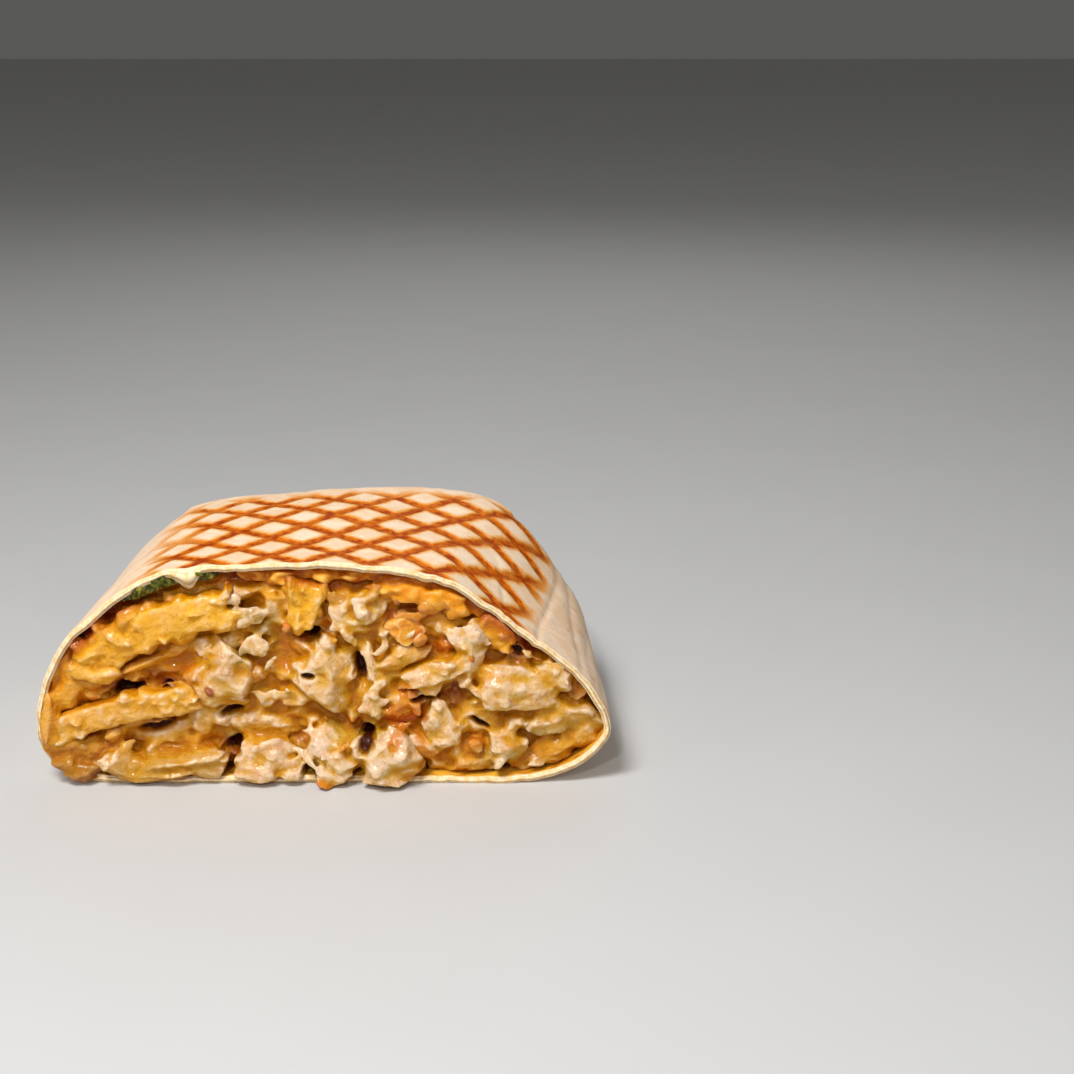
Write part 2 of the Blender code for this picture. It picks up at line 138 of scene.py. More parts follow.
# Chicken that shows on the cut face: middle (x, height), half sizes (across, up), how far its
# face stands in front of the cut, half depth, tilt in degrees, and tone
CHICKEN = {
    "slab_under": (-49.0, 25.2, 6.0, 5.4, 0.6, 6.0, 10, "yellow"),
    "left_wall": (-54.8, 21.6, 4.2, 7.4, 0.4, 6.0, -14, "yellow"),
    "left_wall_top": (-48.6, 32.4, 5.6, 3.2, -0.8, 5.0, 46, "amber"),
    "wall_strip": (-56.2, 27.6, 2.0, 6.4, 0.2, 5.0, -32, "yellow"),
    "amber_recess": (-33.4, 26.2, 8.0, 4.0, -1.6, 6.0, 8, "amber"),
    "dark_bridge": (-38.0, 21.4, 9.0, 3.4, -2.4, 6.0, 10, "brown"),
    "left_low_mass": (-51.2, 7.0, 8.8, 6.0, 2.2, 6.0, 8, "toffee"),
    "left_overflow": (-57.6, 10.6, 4.2, 7.0, 2.2, 4.0, -8, "toffee"),
    "left_rim_cover": (-59.6, 13.0, 2.8, 8.0, 2.4, 3.0, -4, "amber"),
    "left_rim_foot": (-56.6, 4.6, 4.6, 3.4, 2.6, 3.0, -36, "toffee"),
    "bottom_left_strip": (-33.4, 4.4, 15.4, 4.0, 3.0, 6.0, 5, "cream"),
    "bottom_left_end": (-44.6, 4.4, 4.6, 4.0, 3.6, 5.0, 0, "pink"),
    "left_middle": (-35.0, 10.8, 9.0, 4.2, 0.2, 6.0, 12, "cream"),
    "centre_left_lump": (-21.0, 25.0, 9.6, 8.6, 3.0, 8.0, -6, "pale"),
    "centre_left_tip": (-26.2, 16.0, 5.2, 5.6, 0.8, 6.0, -10, "pale"),
    "fibre_bundle": (-14.8, 12.8, 8.4, 4.2, 0.6, 6.0, -8, "pink"),
    "shredded_knob": (-11.8, 6.2, 7.2, 5.6, 2.8, 6.0, -20, "pink"),
    "porous_lump": (0.2, 23.8, 10.0, 10.0, 3.4, 8.0, 6, "pale"),
    "grey_bits": (-12.2, 35.2, 5.6, 5.2, -0.2, 6.0, 0, "grey"),
    "behind_curl": (-9.4, 41.4, 4.0, 4.8, -0.2, 5.0, -6, "yellow"),
    "upper_left_bead": (4.4, 40.2, 4.0, 3.6, 1.0, 5.0, 10, "pale"),
    "upper_right_bead": (10.8, 40.4, 5.2, 4.4, 1.8, 5.0, 20, "pale"),
    "upper_lump": (6.8, 35.4, 6.2, 4.2, 1.0, 6.0, -10, "cream"),
    "upright_strip": (9.8, 27.8, 2.8, 6.0, 1.2, 5.0, 8, "pale"),
    "under_cheddar": (17.4, 28.4, 7.2, 3.8, 0.4, 6.0, 14, "cream"),
    "pale_diagonal": (11.4, 20.6, 6.8, 3.0, 0.6, 5.0, 34, "pale"),
    "long_strip": (24.8, 25.2, 10.0, 3.6, 1.6, 5.0, 20, "pink"),
    "branch_strip": (31.8, 31.2, 3.2, 6.8, 2.4, 5.0, -12, "white"),
    "branch_arm": (27.0, 26.4, 6.8, 2.6, 2.4, 5.0, 34, "pale"),
    "right_small_bits": (42.0, 29.4, 4.4, 3.2, -0.2, 5.0, -20, "brown"),
    "right_lump": (42.4, 20.8, 12.6, 7.6, 3.0, 8.0, -3, "pale"),
    "right_top_knobs": (48.6, 24.8, 6.6, 3.8, 1.4, 6.0, -28, "pale"),
    "right_wall_bits": (54.4, 14.0, 6.8, 5.0, -0.2, 5.0, -20, "grey"),
    "right_low_lump": (38.6, 7.4, 6.0, 4.6, 1.8, 6.0, 8, "white"),
    "right_mid_bits": (46.6, 13.2, 5.4, 3.4, 1.0, 5.0, -8, "grey"),
    "right_mid_knob": (40.8, 13.4, 3.2, 2.4, 0.8, 4.0, 24, "cream"),
    "right_low_end": (49.2, 6.8, 6.8, 4.6, 0.0, 6.0, 6, "yellow"),
    "middle_right_bits": (32.4, 15.4, 5.2, 5.6, -0.4, 6.0, 0, "cream"),
    "middle_low_pale": (28.2, 7.4, 5.6, 5.2, -0.4, 6.0, -10, "cream"),
    "middle_white": (25.0, 12.8, 5.0, 6.6, 1.8, 6.0, 20, "pale"),
    "middle_bits": (16.6, 16.4, 6.2, 5.6, 0.4, 6.0, 0, "orange"),
    "between_lumps": (6.8, 14.8, 5.6, 4.6, -0.4, 6.0, 0, "brown"),
    "bottom_lump_left": (2.0, 6.8, 7.4, 6.8, 4.6, 8.0, 6, "white"),
    "bottom_lump_right": (13.6, 6.6, 8.2, 6.8, 7.0, 9.0, -6, "white"),
    "foot_left": (-52.6, 3.0, 5.0, 2.8, 3.0, 3.6, -6, "toffee"),
    "foot_strip": (-37.0, 2.6, 9.0, 2.6, 3.6, 3.8, 2, "cream"),
    "foot_strip_right": (-25.4, 2.8, 5.4, 2.4, 3.0, 3.6, 6, "pink"),
    "foot_knobs": (-14.6, 2.8, 5.2, 2.6, 4.0, 4.0, -8, "pink"),
    "foot_knobs_right": (-7.0, 2.6, 4.4, 2.2, 3.6, 4.0, 8, "pale"),
    "foot_lump_left": (1.0, 2.6, 5.2, 2.6, 5.2, 4.6, 0, "pale"),
    "foot_orange_bit": (0.0, 0.9, 2.2, 1.0, 5.6, 2.0, -30, "orange"),
    "foot_lump_right": (14.0, 2.4, 6.0, 2.4, 6.2, 5.0, 0, "pink"),
    "top_fill_left": (-14.6, 43.2, 6.4, 3.2, -1.2, 5.0, 4, "toffee"),
    "top_fill": (3.0, 44.2, 7.4, 2.8, -1.4, 5.0, 0, "toffee"),
    "top_fill_right": (15.0, 42.2, 7.0, 2.8, -1.2, 5.0, -8, "yellow"),
    "under_fold": (25.0, 36.4, 7.4, 3.6, -1.2, 5.0, -12, "amber"),
    "right_top_fill": (40.0, 33.6, 5.4, 3.2, -2.2, 5.0, -40, "brown"),
    "recess_strip": (-38.0, 26.8, 8.6, 1.8, 0.2, 4.0, 16, "yellow"),
    "slab_face": (-46.2, 28.0, 4.6, 3.6, 1.0, 5.0, 26, "yellow"),
    "foot_right": (33.0, 3.9, 8.0, 3.0, -0.2, 5.0, 2, "cream"),
    "foot_right_end": (46.0, 4.6, 7.0, 3.0, -0.2, 5.0, 10, "amber"),
    "right_edge_fill": (56.0, 9.6, 4.0, 4.4, -0.6, 4.0, 40, "yellow"),
}

# Fries: both ends (x, height), half thickness, front, bow, how far one edge curls forward, tone
# and number of cheese drops
FRIES = {
    "fry_1": ((-49.0, 29.2), (-19.6, 40.0), 4.1, 1.4, 1.6, 0.0, "gold", 34),
    "fry_2": ((-56.4, 12.8), (-27.0, 19.4), 3.0, 1.8, 1.2, 0.0, "cream", 26),
    "fry_3": ((-2.0, 45.6), (-4.6, 35.2), 3.3, 0.8, 0.0, 1.5, "gold", 7),
    "fry_4": ((33.6, 37.0), (40.6, 32.0), 2.4, 0.2, 0.3, 0.0, "yellow", 7),
}

# Small chips: middle (x, height), half sizes, tilt and tone
FLECKS = (
    (19.2, 34.3, 1.7, 1.0, 30, "white"), (43.7, 29.6, 1.8, 1.5, -30, "white"),
    (15.3, 12.7, 2.1, 1.1, -40, "white"), (-24.4, 29.4, 1.1, 0.6, -30, "chilli"),
    (-24.0, 22.0, 1.2, 0.7, -50, "chilli"), (16.2, 41.4, 1.1, 1.2, 0, "chilli"),
    (-38.2, 40.2, 0.9, 0.7, 0, "green"), (13.9, 34.7, 1.2, 0.9, 20, "green"),
    (11.1, 15.8, 1.9, 1.9, 40, "green"), (38.8, 30.5, 1.3, 1.1, 0, "white"),
    (-7.0, 35.6, 1.7, 1.3, 40, "orange"), (8.4, 41.8, 2.2, 1.3, 10, "white"),
    (3.0, 35.6, 1.6, 1.1, 30, "white"),
)

# The melted cheddar, as a piece of chicken without a tone; and the folds of cheese sauce: x, how
# far inside the rim, half sizes, front and tilt
CHEDDAR = (18.0, 35.2, 4.4, 4.0, 0.8, 4.0, 15)
CHEESE_FOLDS = (
    (17.6, 6.8, 4.6, 2.0, 0.2, 4),
    (23.0, 7.2, 5.4, 2.3, 0.6, -4),
    (29.0, 6.6, 5.4, 2.3, 0.7, -8),
    (34.0, 6.6, 3.0, 2.6, 0.6, -30),
    (22.0, 4.4, 8.0, 2.0, -0.9, -8),
    (31.0, 4.2, 6.0, 1.8, -0.7, -22),
    (8.0, 3.8, 5.0, 1.8, -1.0, 4),
    (1.0, 4.2, 3.4, 2.2, -0.6, -8),
    (-9.4, 4.4, 3.8, 2.6, -0.4, 6),
    (-15.4, 3.8, 3.4, 1.9, -1.0, -6),
)

# Hollows between the pieces, carved back and filled with painted shade: middle (x, height), half sizes, tilt
# and depth
HOLES = {
    "left_gap": (-42.4, 20.8, 4.0, 1.5, 18, 3.0),
    "left_gap_small": (-33.2, 21.6, 1.0, 0.9, 0, 2.0),
    "under_fry": (-36.0, 12.4, 3.6, 0.9, 14, 2.4),
    "beside_tip": (-20.0, 16.0, 2.2, 0.9, 20, 2.6),
    "low_left": (-19.8, 7.8, 2.2, 1.3, 30, 3.0),
    "under_curl": (-3.0, 33.6, 2.6, 1.3, -4, 4.0),
    "porous_eye": (-2.8, 25.4, 1.2, 0.7, -10, 1.8),
    "porous_side": (8.0, 26.0, 1.2, 2.8, 12, 3.2),
    "between_bottom_lumps": (9.2, 10.0, 1.5, 2.3, -30, 3.2),
    "low_middle": (-3.2, 2.8, 1.4, 1.6, 0, 3.0),
    "slot": (21.4, 19.2, 2.4, 0.7, 6, 2.6),
    "middle_right": (33.4, 13.4, 2.2, 0.6, -34, 2.0),
    "right_top": (41.4, 29.8, 1.6, 0.8, -30, 2.4),
}

# The core behind the pieces: share of the cut's outline and how far back; and the stretches of x
# in which the chicken is made
CORE_STEPS = ((0.1, 3.4), (0.35, 3.4), (0.6, 3.6), (0.8, 3.8),
              (0.93, 4.4), (1.0, 5.8), (1.0, 10.0), (0.1, 10.0))
STRETCHES = (("chicken_left", -64.0, -20.0), ("chicken_middle", -20.0, 20.0), ("chicken_right", 20.0, 64.0))

# Seeded small pieces, and the steps in which chicken and fries are melted together
BIT_COUNT = 54
STRAND_COUNT = 40
FILLER_SPACING = 6.4
CHICKEN_STEP = 0.34
FRY_STEP = 0.30

# Layers of sauce under the top: from and to x, how far behind the cut they start, thinnest and
# thickest, and the step in which they are melted; and where drops of herb sauce hang
LAYERS = {
    "cheese_sauce": ((-18.6, 40.5), 2.4, 2.0, 3.4, 0.34),
    "herb_sauce": ((-43.0, -20.6), 0.8, 1.4, 2.4, 0.26),
}
HERB_STRETCHES = ((-43.0, -34.0), (-27.5, -23.5), (-43.0, -34.0))
HERB_BEADS = 90

# Lights: place in metres, size and power; and the camera's place in mm, angle down and lens
LIGHTS = {
    "key": ((-0.16, -0.36, 0.62), 0.22, 4.6),
    "sparkle": ((-0.05, -0.62, 0.42), 0.03, 1.0),
    "fill": ((0.55, -0.55, 0.35), 0.4, 0.65),
    "side": ((-0.55, -0.45, 0.30), 0.3, 0.4),
    "back": ((0.1, 0.6, 0.5), 0.5, 0.6),
}
WORLD_STRENGTH = 0.10
CAMERA_PLACE = (45.8, -378.4, 171.5)
CAMERA_DIP = 17.0
CAMERA_LENS = 63.7


def smooth_step(value):
    value = np.clip(value, 0.0, 1.0)
    return value * value * (3.0 - 2.0 * value)


def perlin(points, size, seed=0):
    """A smooth random field of about -1 to 1 with waves of the given size, at points in mm."""
    spot = np.asarray(points, float) / size + seed * 13.37
    cell = np.floor(spot).astype(np.int64)
    part = spot - cell
    fade = part**3 * (part * (part * 6.0 - 15.0) + 10.0)
    total = np.zeros(spot.shape[:-1])
    for corner in itertools.product((0, 1), repeat=3):
        corner = np.array(corner)
        mixed = (cell + corner) @ np.array((73856093, 19349663, 83492791)) + seed * 2654435
        mixed = (mixed ^ (mixed >> 13)) * 1274126177 & 0x7FFFFFFF
        slope = np.stack([((mixed >> shift) & 255) / 127.5 - 1.0 for shift in (3, 11, 19)], axis=-1)
        weight = np.prod(np.where(corner, fade, 1.0 - fade), axis=-1)
        total += weight * ((part - corner) * slope).sum(axis=-1)
    return total * 1.3


def fractal(points, size, seed=0, octaves=3, ridged=False):
    """Several sizes of noise added up; a ridged one has sharp crests."""
    total = np.zeros(points.shape[:-1])
    strength = 1.0
    for octave in range(octaves):
        wave = perlin(points, size / 2**octave, seed + octave)
        total += strength * (1.0 - 2.0 * np.abs(wave) if ridged else wave)
        strength *= 0.5
    return total / 1.75


def closed_curve(outline, count):
    """Evenly spaced points on a smooth closed curve through an outline."""
    points = np.array(outline) * (CUT_WIDTH / 2, CUT_HEIGHT)
    steps = np.linspace(0.0, 1.0, 24, endpoint=False)[:, None]
    cubed = steps**3
    squared = steps**2
    dense = []
    for index in range(len(points)):
        before, start, end, after = (points[(index + shift) % len(points)] for shift in (-1, 0, 1, 2))
        leaving = (end - before) / 2
        reaching = (after - start) / 2
        dense.append((2 * cubed - 3 * squared + 1) * start + (cubed - 2 * squared + steps) * leaving
                     + (3 * squared - 2 * cubed) * end + (cubed - squared) * reaching)
    dense = np.vstack(dense + [points[:1]])
    travel = np.insert(np.cumsum(np.linalg.norm(np.diff(dense, axis=0), axis=1)), 0, 0.0)
    wanted = np.linspace(0.0, travel[-1], count, endpoint=False)
    return np.stack([np.interp(wanted, travel, dense[:, axis]) for axis in (0, 1)], axis=1)


def uneven(ring):
    """The skin's slow unevenness above the floor, the same as the solid's."""
    for point in ring:
        spot = Vector(point) * MM
        lift = float(smooth_step(point[2] / 8.0) * smooth_step(point[1] / 10.0))
        spot.z += 0.8 * MM * lift * noise.noise(spot * 38.0)
        spot.x += 0.8 * MM * lift * noise.noise(spot * 38.0 + Vector((7.0, 3.0, 1.0)))
        point[:] = spot / MM
    return ring


def skin(around, along):
    """The outside of the wrap as a grid (rows, around, 3). along runs 0 to 1 from the cut to the
    shoulder, 1 to 2 round the closed end and 2 to 3 across its middle."""
    cut = closed_curve(CUT_OUTLINE, around)
    shoulder = closed_curve(SHOULDER_OUTLINE, around)
    middle = np.array((0.0, END_HEIGHT))
    rows = []
    for place in along:
        if place <= 1.0:
            blend = smooth_step(place)
            section = cut * (1 - blend) + shoulder * blend
            depth = place * SHOULDER_DEPTH
        else:
            angle = math.radians(90.0 * min(place - 1.0, 1.0))
            shrink = 1.0 - END_SHRINK * (1.0 - math.cos(angle))
            depth = SHOULDER_DEPTH + END_DEPTH * math.sin(angle)
            if place > 2.0:
                shrink *= 3.0 - place
                depth += 0.4 * smooth_step(place - 2.0)
            section = middle + (shoulder - middle) * shrink
        rows.append(uneven(np.stack([section[:, 0], np.full(around, depth), section[:, 1]], axis=1)))
    return np.array(rows)


def grid_normals(grid):
    """Outward unit normals of a grid whose columns close on themselves."""
    along = np.gradient(grid, axis=0)
    around = np.roll(grid, -1, axis=1) - np.roll(grid, 1, axis=1)
    normal = np.cross(around, along)
    normal /= np.linalg.norm(normal, axis=2, keepdims=True) + 1e-12
    top = grid[0, :, 2].argmax()
    return normal if normal[len(grid) // 4, top, 2] > 0 else -normal


def make_mesh(name, points, faces, material=None):
    """An object from points in mm on the cut face's frame."""
    mesh = bpy.data.meshes.new(name)
    mesh.from_pydata((np.asarray(points) * MM + ORIGIN).tolist(), [], faces)
    mesh.validate()
    mesh.shade_smooth()
    item = bpy.data.objects.new(name, mesh)
    bpy.context.scene.collection.objects.link(item)
    if material:
        mesh.materials.append(material)
    return item


def strip_faces(rows, count):
    """Quads between closed rows of points that follow each other."""
    faces = []
    for low in range(0, (rows - 1) * count, count):
        for index in range(count):
            after = (index + 1) % count
            faces.append((low + index, low + after, low + count + after, low + count + index))
    return faces


def capped_tube(rings, ends):
    """Points and faces of closed rows, each end closed by a fan round a middle point."""
    count, around = rings.shape[:2]
    faces = strip_faces(count, around)
    last = (count - 1) * around
    for index in range(around):
        after = (index + 1) % around
        faces.append((after, index, count * around))
        faces.append((last + index, last + after, count * around + 1))
    return np.concatenate([rings.reshape(-1, 3), ends]), faces


def add_attribute(item, name, values):
    """A number or a colour for each point, for the materials to read."""
    values = np.asarray(values, np.float32)
    if values.ndim == 1:
        item.data.attributes.new(name, "FLOAT", "POINT").data.foreach_set("value", values)
    else:
        full = np.hstack([values, np.ones((len(values), 1), np.float32)])
        item.data.attributes.new(name, "FLOAT_COLOR", "POINT").data.foreach_set("color", full.ravel())


def finished(item, node):
    """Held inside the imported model's box, and handed over as the look of a solid."""
    points = np.empty(len(item.data.vertices) * 3)
    item.data.vertices.foreach_get("co", points)
    low = [corner + 0.02 * MM for corner in CAD_BOX[0]]
    high = [corner - 0.02 * MM for corner in CAD_BOX[1]]
    item.data.vertices.foreach_set("co", np.clip(points.reshape(-1, 3), low, high).ravel())
    item.data.update()
    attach(item, "root")
    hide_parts(node)
    return item


class Look:
    """A Principled material built from short node calls."""

    def __init__(self, name, roughness, **constants):
        self.material = bpy.data.materials.new(name)
        self.material.use_nodes = True
        self.tree = self.material.node_tree
        self.shader = self.tree.nodes["Principled BSDF"]
        self.set("Roughness", roughness)
        for socket, value in constants.items():
            self.set(socket.replace("_", " "), value)

    def set(self, socket, value):
        self.plug(self.shader.inputs[socket], value)

    def plug(self, socket, value):
        if isinstance(value, bpy.types.NodeSocket):
            self.tree.links.new(value, socket)
        elif hasattr(value, "__len__") and len(value) == 3 and socket.type == "RGBA":
            socket.default_value = (*value, 1.0)
        else:
            socket.default_value = value

    def node(self, kind, **settings):
        made = self.tree.nodes.new(kind)
        for name, value in settings.items():
            setattr(made, name, value)
        return made

    def attribute(self, name, output="Fac"):
        return self.node("ShaderNodeAttribute", attribute_name=name).outputs[output]

    def math(self, operation, first, second=0.0, third=0.0):
        made = self.node("ShaderNodeMath", operation=operation)
        for socket, value in zip(made.inputs, (first, second, third)):
            self.plug(socket, value)
        return made.outputs[0]

    def noise(self, millimetres, detail=3.0, rough=0.55, offset=0.0):
        """Noise whose waves have the given size."""
        place = self.node("ShaderNodeTexCoord").outputs["Object"]
        if offset:
            mapping = self.node("ShaderNodeMapping")
            self.plug(mapping.inputs["Vector"], place)
            mapping.inputs["Location"].default_value = (offset, offset, offset)
            place = mapping.outputs[0]
        made = self.node("ShaderNodeTexNoise")
        self.plug(made.inputs["Vector"], place)
        made.inputs["Scale"].default_value = 1.0 / (millimetres * MM)
        made.inputs["Detail"].default_value = detail
        made.inputs["Roughness"].default_value = rough
        return made.outputs["Fac"]

    def span(self, value, low, high, out_low=0.0, out_high=1.0):
        """value between low and high, spread smoothly over out_low to out_high."""
        made = self.node("ShaderNodeMapRange", interpolation_type="SMOOTHSTEP")
        for name, number in (("Value", value), ("From Min", low), ("From Max", high),
                             ("To Min", out_low), ("To Max", out_high)):
            self.plug(made.inputs[name], number)
        return made.outputs["Result"]

    def mix(self, share, first, second):
        made = self.node("ShaderNodeMix", data_type="RGBA")
        self.plug(made.inputs["Factor"], share)
        colours = [socket for socket in made.inputs if socket.type == "RGBA"]
        self.plug(colours[0], first)
        self.plug(colours[1], second)
        return [socket for socket in made.outputs if socket.type == "RGBA"][0]

    def times(self, first, second):
        return self.math("MULTIPLY", first, second)

    def layered(self, colour, *layers):
        """A colour under layers of (share, tone), each laid over the ones before."""
        for share, tone in layers:
            colour = self.mix(share, colour, tone)
        return colour

    def bump(self, height, millimetres):
        made = self.node("ShaderNodeBump")
        made.inputs["Strength"].default_value = 1.0
        made.inputs["Distance"].default_value = millimetres * MM
        self.plug(made.inputs["Height"], height)
        return made.outputs["Normal"]


# Shape of the wrap

def origin_on_frame():
    """Where the middle of the cut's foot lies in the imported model."""
    low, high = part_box("tortilla")
    own = skin(64, (0.0, 0.05, 0.13, 0.26, 0.42, 0.58, 0.74, 0.88, 1.0))
    middle = (own[:, :, 0].min() + own[:, :, 0].max()) / 2
    depth = SHOULDER_DEPTH + END_DEPTH + 0.4
    return np.array(((low.x + high.x) / 2 - middle * MM, high.y - depth * MM, 0.0))


def grill_coordinates(points):
    """Two numbers for each point that are whole on the lines of the two crossed sets."""
    across = points[..., 0] - GRILL_ORIGIN[0]
    back = points[..., 1] - GRILL_ORIGIN[1]
    column = (across * math.cos(GRILL_TURN) + back * math.sin(GRILL_TURN)) / GRILL_HALF_DIAGONAL
    row = (back * math.cos(GRILL_TURN) - across * math.sin(GRILL_TURN)) / GRILL_HALF_DIAGONAL
    return (column + row) / 2, (column - row) / 2


def grill_distance(points):
    """Millimetres to the nearest grill line."""
    first, second = grill_coordinates(points)
    near = np.minimum(np.abs(first - np.round(first)), np.abs(second - np.round(second)))
    return near * GRILL_HALF_DIAGONAL * math.sqrt(2)


def pressed(points):
    """How firmly the hot plates touched the wrap: 1 on the flat of the top and the underside."""
    x, y, height = points[..., 0], points[..., 1], points[..., 2]
    sides = smooth_step((x + 47.0) / 22.0) * smooth_step((59.0 - x) / 12.0)
    top = smooth_step((height - 31.0) / 8.0) * sides
    below = smooth_step((0.6 - height) / 0.5) * smooth_step((52.0 - np.abs(x)) / 12.0)
    return np.maximum(top, below) * smooth_step((60.0 - y) / 12.0)


def flap_edges(points):
    """Millimetres beyond the sides of the end's narrowing flap, and above its hem."""
    x, height = points[..., 0], points[..., 2]
    wander = perlin(points, 9.0, 5)
    beside = np.abs(x - 1.0) - (FLAP_HALF_WIDTH + FLAP_TAPER * height + 1.2 * wander)
    return beside, height - HEM_HEIGHT - 0.04 * x - 0.8 * wander


def end_flaps(points):
    """Steps of the folded end: the top sheet hangs over the two tucked sides as a flap."""
    beside, hem = flap_edges(points)
    tucked = np.maximum(smooth_step(0.5 + beside / 2.4), smooth_step(0.5 - hem / 2.4))
    puckers = 0.5 * np.abs(perlin(points * (1.0, 0.4, 0.5), 7.0, 6))
    relief = FLAP_STEP * tucked + CREASE_DEPTH * end_creases(points) + puckers
    return -relief * smooth_step((points[..., 1] - 50.0) / 12.0)


def end_creases(points):
    """1 along the folds of the closed end: both sides of the flap, its hem and the tucked corners."""
    beside, hem = flap_edges(points)
    sides = np.exp(-(((beside - 0.6) / 1.1) ** 2)) * smooth_step(0.5 + hem / 3.0)
    below = np.exp(-(((hem + 0.6) / 1.1) ** 2)) * smooth_step(0.5 - beside / 3.0)
    corner = beside - 0.55 * (points[..., 2] - 4.0)
    tucks = 0.7 * np.exp(-((corner / 1.1) ** 2)) * smooth_step(beside / 3.0)
    return np.maximum(np.maximum(sides, below), tucks) * smooth_step((points[..., 1] - 52.0) / 10.0)


def wrap_relief(grid):
    """How far the skin stands in or out, in millimetres."""
    above_floor = smooth_step(grid[..., 2] / 3.0)
    grooves = -GROOVE_DEPTH * pressed(grid) * np.exp(-((grill_distance(grid) / 0.9) ** 2))
    soft = 0.30 * fractal(grid * (1.0, 0.45, 1.0), 11.0, 3)
    small = 0.07 * fractal(grid, 2.6, 8, 2)
    folds = -0.5 * np.exp(-((perlin(grid * (1.0, 0.22, 1.0), 15.0, 21) / 0.09) ** 2))
    sides = smooth_step((np.abs(grid[..., 0]) - 30.0) / 16.0)
    outer = -0.45 + soft + small + folds * sides * 0.8 + end_flaps(grid)
    return above_floor * np.minimum(outer, -0.05) + grooves


def wall_thickness(grid):
    """The tortilla's thickness, with a torn tongue and ragged stretches at the upper rim."""
    x = grid[..., 0]
    near_cut = np.exp(-((grid[..., 1] / 1.2) ** 2)) * (grid[..., 2] > 25.0)
    base = TORTILLA_THICKNESS - 0.2 + 0.24 * fractal(grid, 6.0, 31, 2)
    reach = np.where(x < TONGUE_PLACE, 5.4, 3.4)
    tongue = 3.0 * smooth_step(1.0 - np.abs(x - TONGUE_PLACE) / reach)
    teeth = 0.7 * smooth_step((x - 14.0) / 3.0) * smooth_step((28.0 - x) / 3.0)
    ragged = teeth * np.abs(fractal(grid, 2.2, 33, 2))
    return base + (tongue + ragged) * near_cut + 2.4 * smooth_step((grid[..., 1] - 42.0) / 8.0)


def cut_edge(outer, inner):
    """Rows of points across the thickness of the tortilla at the cut, slightly bulged and rough."""
    edge = []
    for share in (0.2, 0.5, 0.8):
        row = outer * (1 - share) + inner * share
        row[:, 1] -= 0.12 * math.sin(math.pi * share) + 0.06 * perlin(row, 0.9, 50 + int(10 * share))
        edge.append(row)
    return np.array(edge)


def wrap():
    back, round_end, across_end = WRAP_ROWS
    along = np.concatenate([np.linspace(0.0, 1.0, back), 1.0 + np.linspace(0.04, 1.0, round_end),
                            2.0 + np.linspace(0.02, 0.94, across_end)])
    grid = skin(WRAP_AROUND, along)
    normal = grid_normals(grid)
    outer = grid + normal * wrap_relief(grid)[..., None]
    ragged = 0.5 * perlin(grid[0], 7.0, 41) + 0.12 * perlin(grid[0], 2.6, 42)
    outer[..., 1] += ragged * (1.0 - smooth_step(outer[..., 1] / 5.0))
    inner = outer[INNER_ROWS] - normal[INNER_ROWS] * wall_thickness(grid[INNER_ROWS])[..., None]
    edge = cut_edge(outer[0], inner[0])
    rings = np.concatenate([inner[::-1], edge, outer])
    points, faces = capped_tube(rings, [rings[0].mean(axis=0), rings[-1].mean(axis=0)])
    item = make_mesh("tortilla_wrap", points, faces, tortilla_look())
    fix_normals(item)
    row = np.arange(len(points)) // WRAP_AROUND
    first, second = grill_coordinates(points)
    add_attribute(item, "line_a", first)
    add_attribute(item, "line_b", second)
    add_attribute(item, "pressed", pressed(points))
    add_attribute(item, "inside", row < len(inner))
    add_attribute(item, "cut", (row >= len(inner) - 1) & (row < len(inner) + len(edge) + 1))
    add_attribute(item, "crease_shade", end_creases(points))
    return finished(item, "tortilla")


def fix_normals(item):
    bm = bmesh.new()
    bm.from_mesh(item.data)
    bmesh.ops.recalc_face_normals(bm, faces=bm.faces)
    bm.to_mesh(item.data)
    bm.free()
    item.data.shade_smooth()


# Shapes of the filling

@functools.cache
def unit_sphere(subdivisions):
    """Points and faces of a round ball with even triangles."""
    bm = bmesh.new()
    bmesh.ops.create_icosphere(bm, subdivisions=subdivisions, radius=1.0)
    points = np.array([vert.co for vert in bm.verts])
    faces = [[vert.index for vert in face.verts] for face in bm.faces]
    bm.free()
    return points, faces


def turn_up(points, tilt):
    """Turns points in the plane of the cut; a positive tilt lifts the right end."""
    angle = math.radians(tilt)
    x = points[:, 0] * math.cos(angle) - points[:, 2] * math.sin(angle)
    height = points[:, 0] * math.sin(angle) + points[:, 2] * math.cos(angle)
    return np.stack([x, points[:, 1], height], axis=1)


def lump(sizes, ball, facets=9, square=2.0, fibres=0.10):
    """A torn piece: the solid's knobbly form with cut facets, fibres along it and fine bumps."""
    x, height, half_across, half_up, front, half_depth, tilt = sizes[:7]
    seed = Vector((x, height, front)) * 0.37
    draw = np.random.default_rng(abs(int(x * 131 + height * 17 + front * 7)))
    swell = np.array([1.0 + 0.34 * noise.noise(Vector(point) * 1.5 + seed) for point in ball])
    points = ball / (np.abs(ball) ** square).sum(axis=1, keepdims=True) ** (1 / square) * swell[:, None]
    for _ in range(facets):
        facing = draw.normal(size=3)
        facing /= np.linalg.norm(facing)
        over = points @ facing - draw.uniform(0.62, 0.92)
        points -= np.maximum(over, 0.0)[:, None] * facing * 0.9
    grain = fractal(points * (0.5, 1.6, 1.6) + x, 0.5, 7, ridged=True)
    points *= 1.0 - fibres * grain[:, None]
    points = turn_up(points * (half_across, half_depth, half_up), tilt)
    return points + (x, half_depth - front, height)


def torn_piece(sizes, fineness, **form):
    """Points and faces of a torn piece; a higher fineness has smaller triangles."""
    ball, faces = unit_sphere(fineness)
    return lump(sizes, ball, **form), faces


